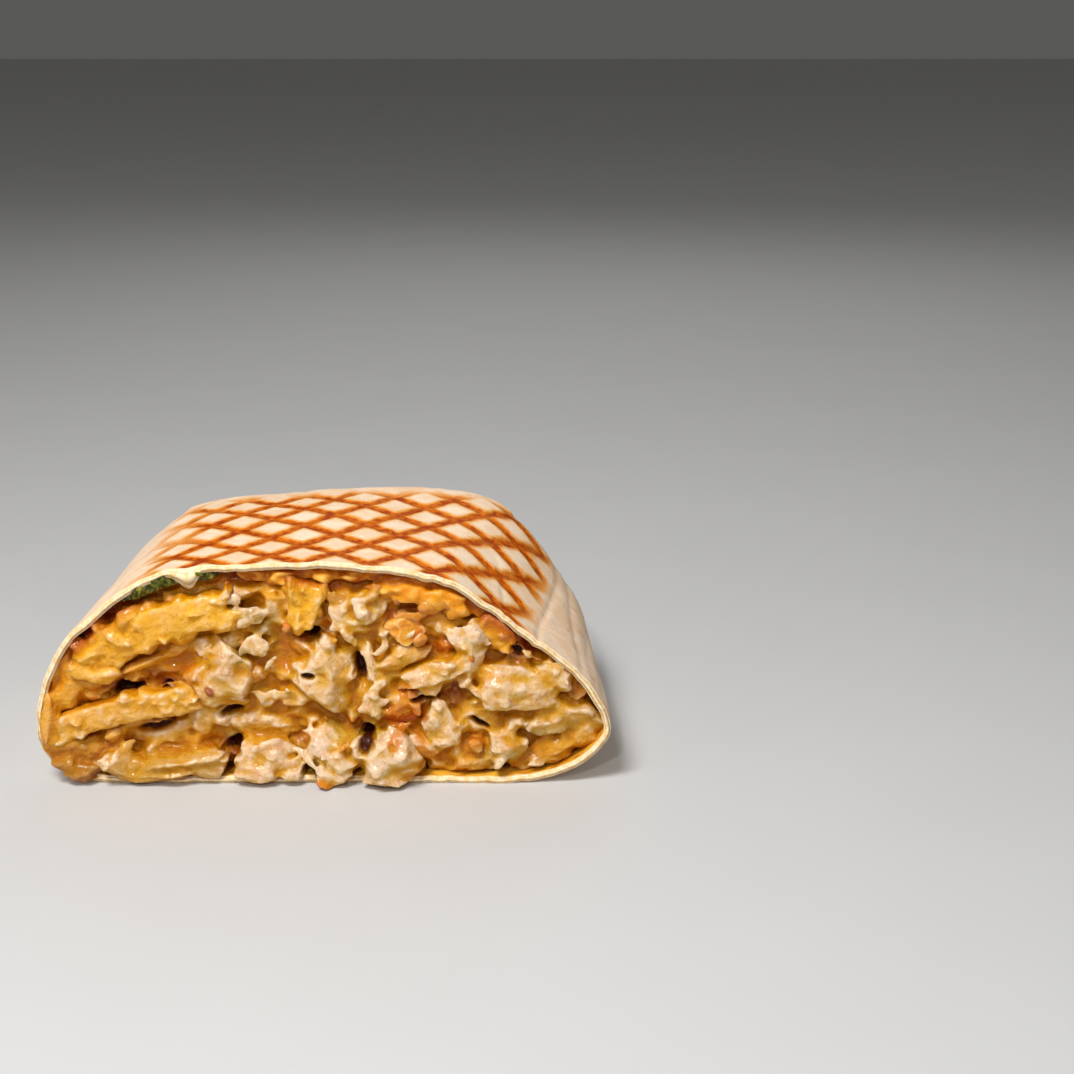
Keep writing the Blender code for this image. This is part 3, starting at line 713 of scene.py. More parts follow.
def face_depth(x, height):
    """How far behind the cut (y) the frontmost chicken lies at each place of the face."""
    depth = np.full(np.shape(x), 4.6)
    for sizes in CHICKEN.values():
        middle_x, middle_height, half_across, half_up, front, half_depth, tilt = sizes[:7]
        angle = math.radians(-tilt)
        along = (x - middle_x) * math.cos(angle) - (height - middle_height) * math.sin(angle)
        up = (x - middle_x) * math.sin(angle) + (height - middle_height) * math.cos(angle)
        away = np.clip((along / half_across) ** 2 + (up / half_up) ** 2, 0.0, 1.0)
        own = half_depth * (1.0 - np.sqrt(1.0 - away)) * 0.9 - front
        depth = np.minimum(depth, own + 4.0 * (away >= 1.0))
    return depth


def nearest_piece(x, height):
    """The named piece of chicken that a place on the face lies in or beside."""
    def distance(sizes):
        return math.hypot((x - sizes[0]) / sizes[2], (height - sizes[1]) / sizes[3])
    return min(CHICKEN.values(), key=distance)


def keeps_whole(x, height, near):
    """Whether a place lies well inside one of the large pieces, or in the cheese on the left."""
    inside = math.hypot((x - near[0]) / near[2], (height - near[1]) / near[3]) < 0.8
    return (near[2] > 7.5 and inside) or (x < -27.0 and height > 9.0)


def shred(strand, seed):
    """A torn strand lying over the face between its ends, both (x, height)."""
    rings, around = 16, 10
    start, end, half_wide, half_thick, lift, bow, _ = strand
    direction = (end - start) / np.linalg.norm(end - start)
    side = np.array((-direction[1], direction[0]))
    share = np.linspace(0.0, 1.0, rings)
    line = start + (end - start) * share[:, None] + side * (bow * np.sin(math.pi * share))[:, None]
    line += side * 0.5 * perlin(np.stack([line[:, 0], share * 0, line[:, 1]], axis=1), 2.4, seed)[:, None]
    taper = np.clip(np.sin(math.pi * (0.04 + 0.92 * share)), 0.0, 1.0) ** 0.45
    taper *= 1.0 + 0.35 * perlin(np.stack([share * 5, share * 0 + seed, share * 0], axis=1), 1.0, seed)
    angle = np.arange(around) * 2 * math.pi / around
    across = np.cos(angle)[None, :] * (half_wide * taper)[:, None]
    deep = np.sin(angle)[None, :] * (half_thick * taper)[:, None]
    x = line[:, 0, None] + side[0] * across
    height = line[:, 1, None] + side[1] * across
    y = face_depth(line[:, 0], line[:, 1])[:, None] - lift + deep
    faces = strip_faces(rings, around)
    faces.append(list(range(around))[::-1])
    faces.append(list(range((rings - 1) * around, rings * around)))
    return np.stack([x, y, height], axis=2).reshape(-1, 3), faces


@functools.cache
def inner_reach(inset):
    """Angle and distance of the wrap's inside at the cut, seen from the middle of the cut."""
    outline = closed_curve(CUT_OUTLINE, 360) - (0.0, CUT_HEIGHT / 2)
    angle = np.arctan2(outline[:, 1], outline[:, 0])
    order = np.argsort(angle)
    return angle[order], (np.linalg.norm(outline, axis=1) - inset)[order]


def reach_towards(away, inset=2.0):
    """Distance from the middle of the cut to the wrap's inside, in the direction of each away."""
    angles, reach = inner_reach(inset)
    away = np.asarray(away)
    return np.interp(np.arctan2(away[..., 1], away[..., 0]), angles, reach, period=2 * math.pi)


def keep_inside(points, inset=2.0, front=-0.2):
    """Pushes points behind the rim back inside the wrap, and all points above the floor."""
    middle = np.array((0.0, CUT_HEIGHT / 2))
    away = points[:, (0, 2)] - middle
    limit = reach_towards(away, inset) + np.clip(front - points[:, 1], 0.0, 2.0) * 1.5
    share = np.minimum(1.0, limit / np.maximum(np.linalg.norm(away, axis=1), 1e-6))
    points[:, 0] = away[:, 0] * share
    points[:, 2] = np.maximum(middle[1] + away[:, 1] * share, 0.35)
    return points


def potato_stick(start, run, half_thick, front, bow, curl, tilt):
    """Points and faces of a bare stick that runs from start, with a bow and one edge curled."""
    ball, faces = unit_sphere(5)
    box = ball / (np.abs(ball) ** 7).sum(axis=1, keepdims=True) ** (1 / 7)
    points = box * (np.linalg.norm(run) / 2, half_thick, half_thick)
    points[:, 2] += bow * (1.0 - box[:, 0] ** 2)
    points[:, 1] -= curl * smooth_step(box[:, 2] * 0.8 + 0.1) - 0.5 * curl
    points += box * 0.5 * fractal(points, 6.0, 100)[:, None]
    middle = start + run / 2
    return turn_up(points, tilt) + (middle[0], half_thick - front, middle[1]), faces


def mesh_points(item):
    points = np.empty(len(item.data.vertices) * 3)
    item.data.vertices.foreach_get("co", points)
    return (points.reshape(-1, 3) - ORIGIN) / MM


def set_points(item, points):
    item.data.vertices.foreach_set("co", (points * MM + ORIGIN).ravel())
    item.data.update()


def mesh_normals(item):
    normals = np.empty(len(item.data.vertices) * 3)
    item.data.vertex_normals.foreach_get("vector", normals)
    return normals.reshape(-1, 3)


def melted(name, parts, step):
    """One closed skin round many overlapping parts, each (points, faces)."""
    points = []
    faces = []
    start = 0
    for part_points, part_faces in parts:
        points.append(part_points)
        faces += [[start + index for index in face] for face in part_faces]
        start += len(part_points)
    item = make_mesh(name, np.concatenate(points), faces)
    remesh = item.modifiers.new("Melt", "REMESH")
    remesh.mode = "VOXEL"
    remesh.voxel_size = step * MM
    apply_modifiers(item)
    item.data.shade_smooth()
    return item


def flat_loft(rings):
    """Points and faces of flat closed rows, with quads between the two sides of each end row."""
    rows, count = rings.shape[:2]
    faces = strip_faces(rows, count)
    for start in (0, (rows - 1) * count):
        for index in range(count // 2 - 1):
            mirror = count - 1 - index
            faces.append([start + index, start + index + 1, start + mirror - 1, start + mirror])
    return rings.reshape(-1, 3), faces


def apply_modifiers(item):
    """Replaces a piece's mesh by its modified form."""
    bpy.context.view_layer.update()
    shaped = item.evaluated_get(bpy.context.evaluated_depsgraph_get())
    mesh = bpy.data.meshes.new_from_object(shaped)
    item.modifiers.clear()
    item.data = mesh


def neighbour_mean(item, values, rounds):
    """Values averaged with those of the neighbouring points, several times over."""
    ends = np.empty(len(item.data.edges) * 2, np.int64)
    item.data.edges.foreach_get("vertices", ends)
    first, second = ends.reshape(-1, 2).T
    count = len(item.data.vertices)
    links = np.bincount(first, minlength=count) + np.bincount(second, minlength=count) + 1.0
    values = np.array(values, float)
    for _ in range(rounds):
        summed = values.copy()
        for column in range(values.shape[1]):
            summed[:, column] += np.bincount(first, values[second, column], count)
            summed[:, column] += np.bincount(second, values[first, column], count)
        values = summed / links[:, None]
    return values


def ridge_height(item, rounds):
    """How far each point stands above (or below) its surroundings, in millimetres."""
    points = mesh_points(item)
    return ((points - neighbour_mean(item, points, rounds)) * mesh_normals(item)).sum(axis=1)


def nearest_tone(points, named, sharp=7.0):
    """Each point takes the tone of the pieces it lies on, blended where they meet."""
    warp = 0.10 * fractal(points, 3.0, 61)
    best = np.full(len(points), np.inf)
    distances = []
    for sizes in named:
        x, height, half_across, half_up, front, half_depth, tilt = sizes[:7]
        local = turn_up(points - (x, half_depth - front, height), -tilt)
        distance = np.linalg.norm(local / (half_across, half_depth, half_up), axis=1) + warp
        distance -= 0.4 * (half_up < 1.7)
        distances.append(distance)
        best = np.minimum(best, distance)
    total = np.zeros((len(points), 1))
    colour = np.zeros((len(points), 3))
    for sizes, distance in zip(named, distances):
        share = np.exp(-sharp * (distance - best))[:, None]
        colour += share * TONES[sizes[7]]
        total += share
    colour /= total
    alone = smooth_step((best - 1.1) / 0.35)[:, None]
    return colour * (1 - alone) + TONES["toffee"] * alone


def filling_core(low, high):
    """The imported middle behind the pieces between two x: a loft that follows the wrap's inside."""
    around = 180
    section = closed_curve(CUT_OUTLINE, around) - (0.0, CUT_HEIGHT / 2)
    reach = np.linalg.norm(section, axis=1, keepdims=True)
    inner = section * (reach - 3.0) / reach
    rows = []
    for shrink, back in CORE_STEPS:
        across = np.clip(inner[:, 0] * shrink, low, high)
        rows.append(np.stack([across, np.full(around, back), inner[:, 1] * shrink + CUT_HEIGHT / 2], axis=1))
    middle = np.array(((max(low, -55.0) + min(high, 55.0)) / 2, 0.0, CUT_HEIGHT / 2))
    ends = [middle + (0, back, 0) for back in (CORE_STEPS[0][1], CORE_STEPS[-1][1])]
    return capped_tube(np.array(rows), ends)


def chicken():
    """All the chicken of the cut face in three stretches, each melted together with its sauce."""
    large = list(CHICKEN.values())
    middling = fillers()
    small = small_bits() + flecks()
    strands = shreds()
    for name, low, high in STRETCHES:
        parts = [filling_core(low - 1.0, high + 1.0)]
        parts += [torn_piece(sizes, 5 if sizes[2] > 6.0 else 4, square=2.5)
                  for sizes in large if low <= sizes[0] < high]
        parts += [torn_piece(sizes, 4) for sizes in middling if low <= sizes[0] < high]
        parts += [torn_piece(sizes, 3, facets=6) for sizes in small if low <= sizes[0] < high]
        parts += [shred(strand, number) for number, strand in enumerate(strands)
                  if low <= (strand[0][0] + strand[1][0]) / 2 < high]
        item = melted(name, parts, CHICKEN_STEP)
        weather(item)
        thin_back(item)
        fix_normals(item)
        coloured(item, tinted(mesh_points(item), large + middling + small, strands))
        finished(item, "chicken_filling")


def coloured(item, tint, thick=1.0):
    """Gives a piece its own tone under the sauce, with painted shade and painted highlights laid into it,
    and the masks that its look reads for more of both.
    """
    points = mesh_points(item)
    tint = sauced(item, points, tint, thick)
    add_attribute(item, "tint", tint)
    add_attribute(item, "bare", smooth_step((tint[:, 2] - 0.03) / 0.14))
    add_attribute(item, "ridge", ridge_height(item, 10))
    add_attribute(item, "bulk", ridge_height(item, 50))
    add_attribute(item, "hollow_shade", hollow_share(points) * item.name.startswith("chicken"))
    item.data.materials.append(chicken_look())


def weather(item):
    """Melts parts of a stretch under sauce, adds knobs and creases, then the hollows."""
    points = keep_inside(mesh_points(item))
    set_points(item, points)
    saucy = smooth_step(0.55 + 1.5 * fractal(points, 8.0, 70, 2))
    molten = neighbour_mean(item, points, 14)
    valley = smooth_step(0.5 - ridge_height(item, 8) / 0.5)
    points = points + (molten - points) * (0.4 * saucy * valley + 0.58)[:, None]
    set_points(item, points)
    knobs = 0.42 * fractal(points, 3.8, 78, 1) - 0.30 * fractal(points, 2.8, 71, 1, ridged=True)
    knobs -= 0.15 * fractal(points, 1.7, 73, 1, ridged=True) * (1.0 - 0.5 * saucy)
    points = points + mesh_normals(item) * knobs[:, None]
    set_points(item, keep_inside(carve(points)))


def thin_back(item, depth=5.5, kept=0.12):
    """Fewer triangles on the side that faces into the wrap."""
    behind = mesh_points(item)[:, 1] > depth
    group = item.vertex_groups.new(name="behind")
    group.add([int(index) for index in np.nonzero(behind)[0]], 1.0, "REPLACE")
    thinner = item.modifiers.new("Thin", "DECIMATE")
    thinner.vertex_group = "behind"
    thinner.ratio = 1.0 - behind.mean() * (1.0 - kept)
    apply_modifiers(item)
    item.vertex_groups.clear()


def tinted(points, lumps, strands):
    """The tone of the piece each point belongs to: lumps, with the strands painted over them."""
    colour = nearest_tone(points, lumps)
    for start, end, wide, _, _, bow, tone in strands:
        run = end - start
        length = np.linalg.norm(run)
        local = (points[:, (0, 2)] - start) @ np.stack([run, (-run[1], run[0])], axis=1) / length
        share = np.clip(local[:, 0] / length, 0.0, 1.0)
        away = np.hypot(local[:, 0] - share * length, local[:, 1] - bow * np.sin(math.pi * share))
        cover = smooth_step((wide + 0.5 - away) / 0.6) * 0.8 * (points[:, 1] < 5.0)
        colour += (TONES[tone] - colour) * cover[:, None]
    return colour


def carve(points):
    """Pushes the surface back where the hollows are."""
    for index, sizes in enumerate(HOLES.values()):
        facing = points[:, 1] < 6.0
        points[:, 1] += sizes[5] * smooth_step(1.1 * (1.5 - hollow_distance(points, sizes, index))) * facing
    return points


def hollow_distance(points, sizes, index):
    """0 in the middle of a hollow and about 1 at its ragged edge."""
    x, height, half_across, half_up, tilt, _ = sizes
    local = turn_up(points - (x, 0.0, height), -tilt)
    away = np.hypot(local[:, 0] / half_across, local[:, 2] / half_up)
    return away + 0.75 * fractal(points * (1.0, 0.3, 1.0), 2.6, 81 + index, 3)


def hollow_share(points):
    """1 inside the hollows, 0 elsewhere: the mask of the painted shade there."""
    share = np.zeros(len(points))
    for index, sizes in enumerate(HOLES.values()):
        share = np.maximum(share, smooth_step((1.2 - hollow_distance(points, sizes, index)) / 0.5))
    return share * (points[:, 1] < 8.0)


def spread_out(values, rounds):
    """A grid of values averaged with their neighbours, several times over."""
    for _ in range(rounds):
        for axis in (0, 1):
            values = (np.roll(values, 1, axis) + 2.0 * values + np.roll(values, -1, axis)) / 4.0
    return values


def behind_face(points, rounds):
    """How far each point lies behind the mean of the face around it, in millimetres."""
    columns = np.clip(((points[:, 0] + 66.0) / 0.5).astype(int), 0, 263)
    rows = np.clip((points[:, 2] / 0.5 + 2.0).astype(int), 0, 111)
    front = np.full((264, 112), 6.0)
    np.minimum.at(front, (columns, rows), points[:, 1])
    known = (front < 6.0) * 1.0
    mean = spread_out(front * known, rounds) / np.maximum(spread_out(known, rounds), 0.01)
    return points[:, 1] - mean[columns, rows]


def small_bits():
    """Crumbs of chicken and beads of sauce between the larger pieces."""
    draw = np.random.default_rng(19)
    bits = []
    while len(bits) < BIT_COUNT:
        x = draw.uniform(-58, 58)
        height = draw.uniform(2.5, 47)
        away = np.array((x, height - CUT_HEIGHT / 2))
        radius = 0.6 + 1.5 * draw.random() ** 2
        if np.linalg.norm(away) > reach_towards(away, 4.5) - radius:
            continue
        near = nearest_piece(x, height)
        if keeps_whole(x, height, near) and draw.random() < 0.8:
            continue
        front = radius * 0.9 - float(face_depth(x, height))
        tone = near[7] if draw.random() < 0.6 else str(draw.choice(["pale", "cream", "amber", "yellow"]))
        bits.append((x, height, radius * draw.uniform(1.0, 1.9), radius, front, radius * 1.3,
                     draw.uniform(-60, 60), tone))
    return bits


def shreds():
    """Seeded strands of torn chicken: ends, half width, half thickness, lift, bow and tone."""
    draw = np.random.default_rng(47)
    made = []
    while len(made) < STRAND_COUNT:
        middle = np.array((draw.uniform(-50, 57), draw.uniform(2.0, 44)))
        half = draw.uniform(1.4, 4.2)
        near = nearest_piece(*middle)
        if keeps_whole(*middle, near) and draw.random() < 0.85:
            continue
        angle = math.radians(near[6] + draw.normal() * 28.0)
        step = np.array((math.cos(angle), math.sin(angle))) * half
        ends = (middle - step, middle + step)
        away = [end - (0.0, CUT_HEIGHT / 2) for end in ends]
        if any(np.linalg.norm(end) > reach_towards(end, 4.0) for end in away):
            continue
        tone = near[7] if draw.random() < 0.55 else str(draw.choice(["pale", "cream", "pink"]))
        made.append((*ends, draw.uniform(0.9, 1.9), draw.uniform(0.6, 0.9), draw.uniform(-0.5, 0.1),
                     draw.normal() * half * 0.18, tone))
    return made


def fillers():
    """Middling pieces on a loose grid that close the gaps between the named ones."""
    draw = np.random.default_rng(83)
    made = []
    for row, column in itertools.product(range(8), range(20)):
        x = -60.0 + (column + 0.5 * (row % 2)) * FILLER_SPACING + draw.normal() * 1.2
        height = 3.0 + row * FILLER_SPACING * 0.87 + draw.normal()
        away = (x, height - CUT_HEIGHT / 2)
        if math.hypot(*away) > reach_towards(away, 3.4) - 1.5:
            continue
        depth = min(float(face_depth(x, height)) + 0.5, draw.uniform(1.4, 2.8))
        left = ["yellow", "yellow", "amber", "brown"]
        tones = left if x < -26 else ["cream", "amber", "yellow", "pale", "brown"]
        made.append((x, height, draw.uniform(3.4, 5.2), draw.uniform(2.4, 3.8), -depth, 5.0,
                     draw.uniform(-40, 40), str(draw.choice(tones))))
    return made


def flecks():
    """The named small chips, each set on the face below it."""
    return [(x, height, across, up, up * 0.8 - float(face_depth(x, height)), up, tilt, tone)
            for x, height, across, up, tilt, tone in FLECKS]


def near_rim(points):
    """1 just under the upper rim of the wrap, falling to 0 further in; the mask of the painted shade under
    the rim.
    """
    away = points[:, (0, 2)] - (0.0, CUT_HEIGHT / 2)
    room = reach_towards(away) - np.linalg.norm(away, axis=1)
    return smooth_step(1.2 - room / 5.5) * smooth_step(away[:, 1] / 6.0)


def sauced(item, points, tint, thick):
    """The colour of pieces under their sauce: yellow streaks all over, and thick patches of cheese that lie
    most of all on the left; then painted shade and painted highlights."""
    left = smooth_step((-22.0 - points[:, 0]) / 16.0) * smooth_step((points[:, 2] - 6.0) / 6.0)
    right = smooth_step((points[:, 0] - 24.0) / 16.0)
    patches = smooth_step((fractal(points, 6.0, 91) - 0.22 + 0.5 * left - 0.14 * right) / 0.3)
    valley = smooth_step(-ridge_height(item, 24) / 0.5)
    coat = thick * np.clip(0.8 * patches + 0.35 * valley, 0.0, 0.9)[:, None]
    # shade picks yellow cheese over amber: at random, and lower in valleys away from the left as painted
    # shade
    shade = smooth_step(0.6 + 0.9 * fractal(points, 3.0, 93, 2) - 0.4 * valley * (1 - left))[:, None]
    streaks = smooth_step(0.5 + 1.3 * fractal(points * (0.7, 1.0, 1.4), 2.6, 97))[:, None]
    tint = tint * (1 - 0.35 * streaks) + TONES["yellow"] * 0.35 * streaks
    cheese = TONES["yellow"] + (TONES["gold"] - TONES["yellow"]) * left[:, None]
    colour = tint * (1 - coat) + (TONES["amber"] * (1 - shade) + cheese * shade) * coat
    pale = (1.0 - 0.8 * coat[:, 0]) * smooth_step((tint[:, 2] - 0.04) / 0.12)
    return deepened(item, points, colour, valley, pale)


def deepened(item, points, colour, valley, pale):
    """Painted shade and highlight: the colour darkened and turned more orange where shade falls, behind the
    face around it, on parts that face down, in valleys and dents, on the low sides and under the rim, and
    whitened as a painted highlight on the crests of pale chicken."""
    under = smooth_step((-mesh_normals(item)[:, 2] + 0.15) / 0.8)
    knob = ridge_height(item, 14)
    shaded = near_rim(points)
    beside = smooth_step((np.abs(points[:, 0] - 7.0) - 20.0) / 12.0)
    low_side_shade = smooth_step((12.0 - points[:, 2]) / 8.0) * beside
    # depth is painted shade: how far the colour is darkened behind the face, facing down, in valleys, in
    # dents, on the low sides and under the rim
    depth = 0.8 * smooth_step(behind_face(points, 14) / 1.1 + 0.1)
    depth += 0.9 * smooth_step(behind_face(points, 70) / 2.6 + 0.1)
    depth += 1.2 * shaded + 0.45 * under + 0.3 * valley + 0.35 * fractal(points, 4.0, 95, 2)
    depth = np.clip(depth + 0.6 * smooth_step(-knob / 0.3) + 0.15 * low_side_shade, 0.0, 2.4)[:, None]
    # painted shade under the rim: the colour turned orange there
    colour = colour + (TONES["orange"] - colour) * (0.5 * shaded)[:, None]
    # painted highlight: pale chicken whitened on its crests
    crest_highlight = (0.6 * smooth_step(knob / 0.3) * pale * (1.0 - shaded))[:, None]
    colour = colour + (TONES["white"] - colour) * crest_highlight
    # painted shade: colour deepened and darkened by depth, and darker still on the low sides and under the
    # rim
    deep = colour ** (1.0 + depth * (0.12, 0.38, 1.9)) * (1.0 - 0.17 * depth)
    return 0.84 * deep * (1.0 - 0.2 * low_side_shade - 0.14 * shaded)[:, None]


def fry(name):
    """A potato stick with soft square edges under runs and drops of cheese sauce."""
    start, end, half_thick, front, bow, curl, tone, drops = FRIES[name]
    number = int(name[-1])
    start = np.array(start)
    run = np.array(end) - start
    tilt = math.degrees(math.atan2(run[1], run[0]))
    parts = [potato_stick(start, run, half_thick, front, bow, curl, tilt)]
    across = np.array((-run[1], run[0])) / np.linalg.norm(run)
    draw = np.random.default_rng(number + 60)
    for _ in range(drops):
        share = draw.uniform(-0.03, 1.05)
        up = draw.uniform(-1.0, 1.0) * half_thick + bow * (1.0 - (2 * share - 1) ** 2)
        spot = start + run * share + across * up
        size = half_thick * draw.uniform(0.22, 0.72)
        drop = (spot[0], spot[1], size * draw.uniform(1.0, 2.2), size, front + draw.uniform(-0.4, 1.1), 3.2,
                tilt + draw.normal() * 25.0)
        parts.append(torn_piece(drop, 4, facets=2, fibres=0.03))
    item = melted(f"stick_{number}", parts, FRY_STEP)
    set_points(item, neighbour_mean(item, mesh_points(item), 5))
    points = mesh_points(item)
    lumps = 0.55 * fractal(points, 3.6, 120 + number, 2) - 0.18 * fractal(points, 1.8, 124, 2, ridged=True)
    set_points(item, keep_inside(points + mesh_normals(item) * lumps[:, None]))
    fix_normals(item)
    coloured(item, np.tile(1.1 * TONES[tone], (len(points), 1)), 0.55)
    return finished(item, name)


def sauce_layer(name, node, extras, material):
    """A spread of sauce against the top of the wrap, with beads and folds of it at the cut."""
    span, recess, thin, thick, step = LAYERS[node]
    around = 300
    along = np.concatenate([np.linspace(recess / SHOULDER_DEPTH, 0.12, 12), np.linspace(0.2, 0.96, 12)])
    grid = skin(around, along)
    normal = grid_normals(grid)
    rim = grid[0]
    columns = [index for index in range(around)
               if rim[index, 2] > 0.6 * CUT_HEIGHT and span[0] <= rim[index, 0] <= span[1]]
    grid = grid[:, columns]
    normal = normal[:, columns]
    wave = 0.5 + 0.5 * fractal(grid, 6.0, 111)
    edge = np.minimum(grid[..., 0] - span[0], span[1] - grid[..., 0])
    thickness = (thin + (thick - thin) * wave) * (0.3 + 0.7 * smooth_step(edge / 3.0))
    over = grid - normal * (TORTILLA_THICKNESS + 0.5)
    under = over - normal * thickness[..., None]
    item = melted(name, [flat_loft(np.concatenate([over, under[:, ::-1]], axis=1))] + extras, step)
    points = mesh_points(item)
    rough = 0.20 * fractal(points, 3.0, 131, 3)
    set_points(item, keep_inside(points + mesh_normals(item) * rough[:, None], TORTILLA_THICKNESS + 0.1))
    thin_back(item, 8.0, 0.06)
    fix_normals(item)
    item.data.materials.append(material)
    add_attribute(item, "ridge", ridge_height(item, 10))
    # recess: how far behind the cut, the mask of the painted shade under the rim
    add_attribute(item, "recess", smooth_step((mesh_points(item)[:, 1] - 0.2) / 1.4) * 0.9)
    return finished(item, node)


def rim_spot(x, inset):
    """A place (x, height) on the upper cut, the given millimetres inside the outline."""
    outline = closed_curve(CUT_OUTLINE, 400)
    upper = outline[outline[:, 1] > 0.55 * CUT_HEIGHT]
    near = upper[np.abs(upper[:, 0] - x).argmin()]
    inward = np.array((0.0, CUT_HEIGHT * 0.45)) - near
    return near + inward / np.linalg.norm(inward) * inset


def herb_beads():
    """Seeded drops of herb sauce under the rim, beside the torn tongue."""
    draw = np.random.default_rng(9)
    made = []
    for _ in range(HERB_BEADS):
        low, high = HERB_STRETCHES[draw.integers(len(HERB_STRETCHES))]
        x, height = rim_spot(draw.uniform(low, high), draw.uniform(2.2, 4.4))
        size = draw.uniform(0.4, 1.0)
        drop = (x, height, size * draw.uniform(0.8, 1.6), size, -draw.uniform(-0.7, 1.6), size,
                draw.uniform(-50, 50))
        made.append(torn_piece(drop, 2, facets=2))
    return made


def cheese_folds():
    """The glossy fold of cheese sauce that hangs from the layer, right of the middle."""
    folds = []
    for x, inset, across, up, front, tilt in CHEESE_FOLDS:
        spot = rim_spot(x, inset)
        folds.append(torn_piece((*spot, across, up, front, 3.4, tilt), 4, facets=2, fibres=0.02))
    return folds


def cheddar_piece():
    points, faces = torn_piece(CHEDDAR, 5, facets=6, fibres=0.05)
    item = make_mesh("cheddar_melt", keep_inside(points), faces, cheddar_look())
    add_attribute(item, "ridge", ridge_height(item, 10))
    # recess: how far the melt lies behind the face around it, the mask of its painted shade
    add_attribute(item, "recess", smooth_step(behind_face(mesh_points(item), 14) / 1.6))
    return finished(item, "cheddar")


# Materials

def tortilla_look():
    look = Look("tortilla", 0.6, Subsurface_Weight=0.02, Subsurface_Scale=0.001, Specular_IOR_Level=0.05)
    fine = look.noise(0.9, 3.0)
    core, colour = grilled(look, floured(look, fine))
    oily = look.mix(look.span(look.noise(4.0), 0.4, 0.7), srgb(232, 176, 52), srgb(198, 118, 14))
    edge = look.mix(look.span(look.noise(1.2), 0.4, 0.65), srgb(255, 230, 190), srgb(250, 206, 140))
    look.set("Base Color", look.layered(
        colour,
        (look.span(look.noise(0.7, 1.0, offset=3.0), 0.74, 0.80, 0.0, 0.6), srgb(150, 92, 40)),
        (look.attribute("inside"), oily),
        (look.attribute("cut"), edge)))
    look.set("Roughness", look.span(core, 0.0, 1.0, 0.6, 0.46))
    look.set("Normal", look.bump(look.math("ADD", look.times(fine, 0.5), look.times(core, -0.8)), 0.25))
    return look.material


def floured(look, fine):
    """The pale mottled colour of the wrap, toasted in spots, with painted shade along its creases."""
    away_from_plates = look.math("SUBTRACT", 1.0, look.attribute("pressed"))
    return look.layered(
        srgb(255, 226, 194),
        (look.span(look.noise(6.0, 4.0), 0.38, 0.62), srgb(247, 208, 168)),
        (look.times(look.span(look.noise(3.4, 3.0, offset=11.0), 0.62, 0.72, 0.0, 0.45), away_from_plates),
         srgb(214, 150, 92)),
        # painted shade along the creases of the folded end
        (look.times(look.attribute("crease_shade"), 0.55), srgb(206, 150, 100)),
        (look.span(fine, 0.45, 0.72, 0.0, 0.35), srgb(255, 240, 220)))


def grilled(look, flour):
    """How burnt a place is, and its colour: a pale halo, an orange fringe and a brown core."""
    lines = []
    for name in ("line_a", "line_b"):
        near = look.math("PINGPONG", look.attribute(name), 0.5)
        lines.append(look.times(near, GRILL_HALF_DIAGONAL * math.sqrt(2)))
    wander = look.times(look.math("SUBTRACT", look.noise(2.6, 3.0), 0.5), 1.7)
    distance = look.math("ADD", look.math("SMOOTH_MIN", *lines, 1.2), wander)
    strength = look.times(look.attribute("pressed"), look.span(look.noise(9.0, 2.0), 0.3, 0.6, 0.6, 1.0))
    core = look.times(look.span(distance, 0.65, 1.7, 1.0, 0.0), look.span(strength, 0.2, 0.8))
    burnt = look.mix(look.span(look.noise(2.2, 3.0), 0.35, 0.65), srgb(214, 108, 8), srgb(162, 56, 0))
    halo = look.times(look.span(distance, 0.8, 3.4, 0.4, 0.0), look.span(strength, 0.1, 0.8))
    fringe = look.times(look.span(distance, 1.2, 2.6, 0.85, 0.0), look.span(strength, 0.0, 0.5))
    return core, look.layered(
        flour, (halo, srgb(250, 200, 112)), (fringe, srgb(238, 150, 22)), (core, burnt))


def wet_look(name):
    return Look(name, 0.32, Subsurface_Weight=0.3, Subsurface_Scale=0.0022,
                Subsurface_Radius=(1.0, 0.5, 0.2), Specular_IOR_Level=0.16, Coat_Weight=0.3,
                Coat_Roughness=0.05)


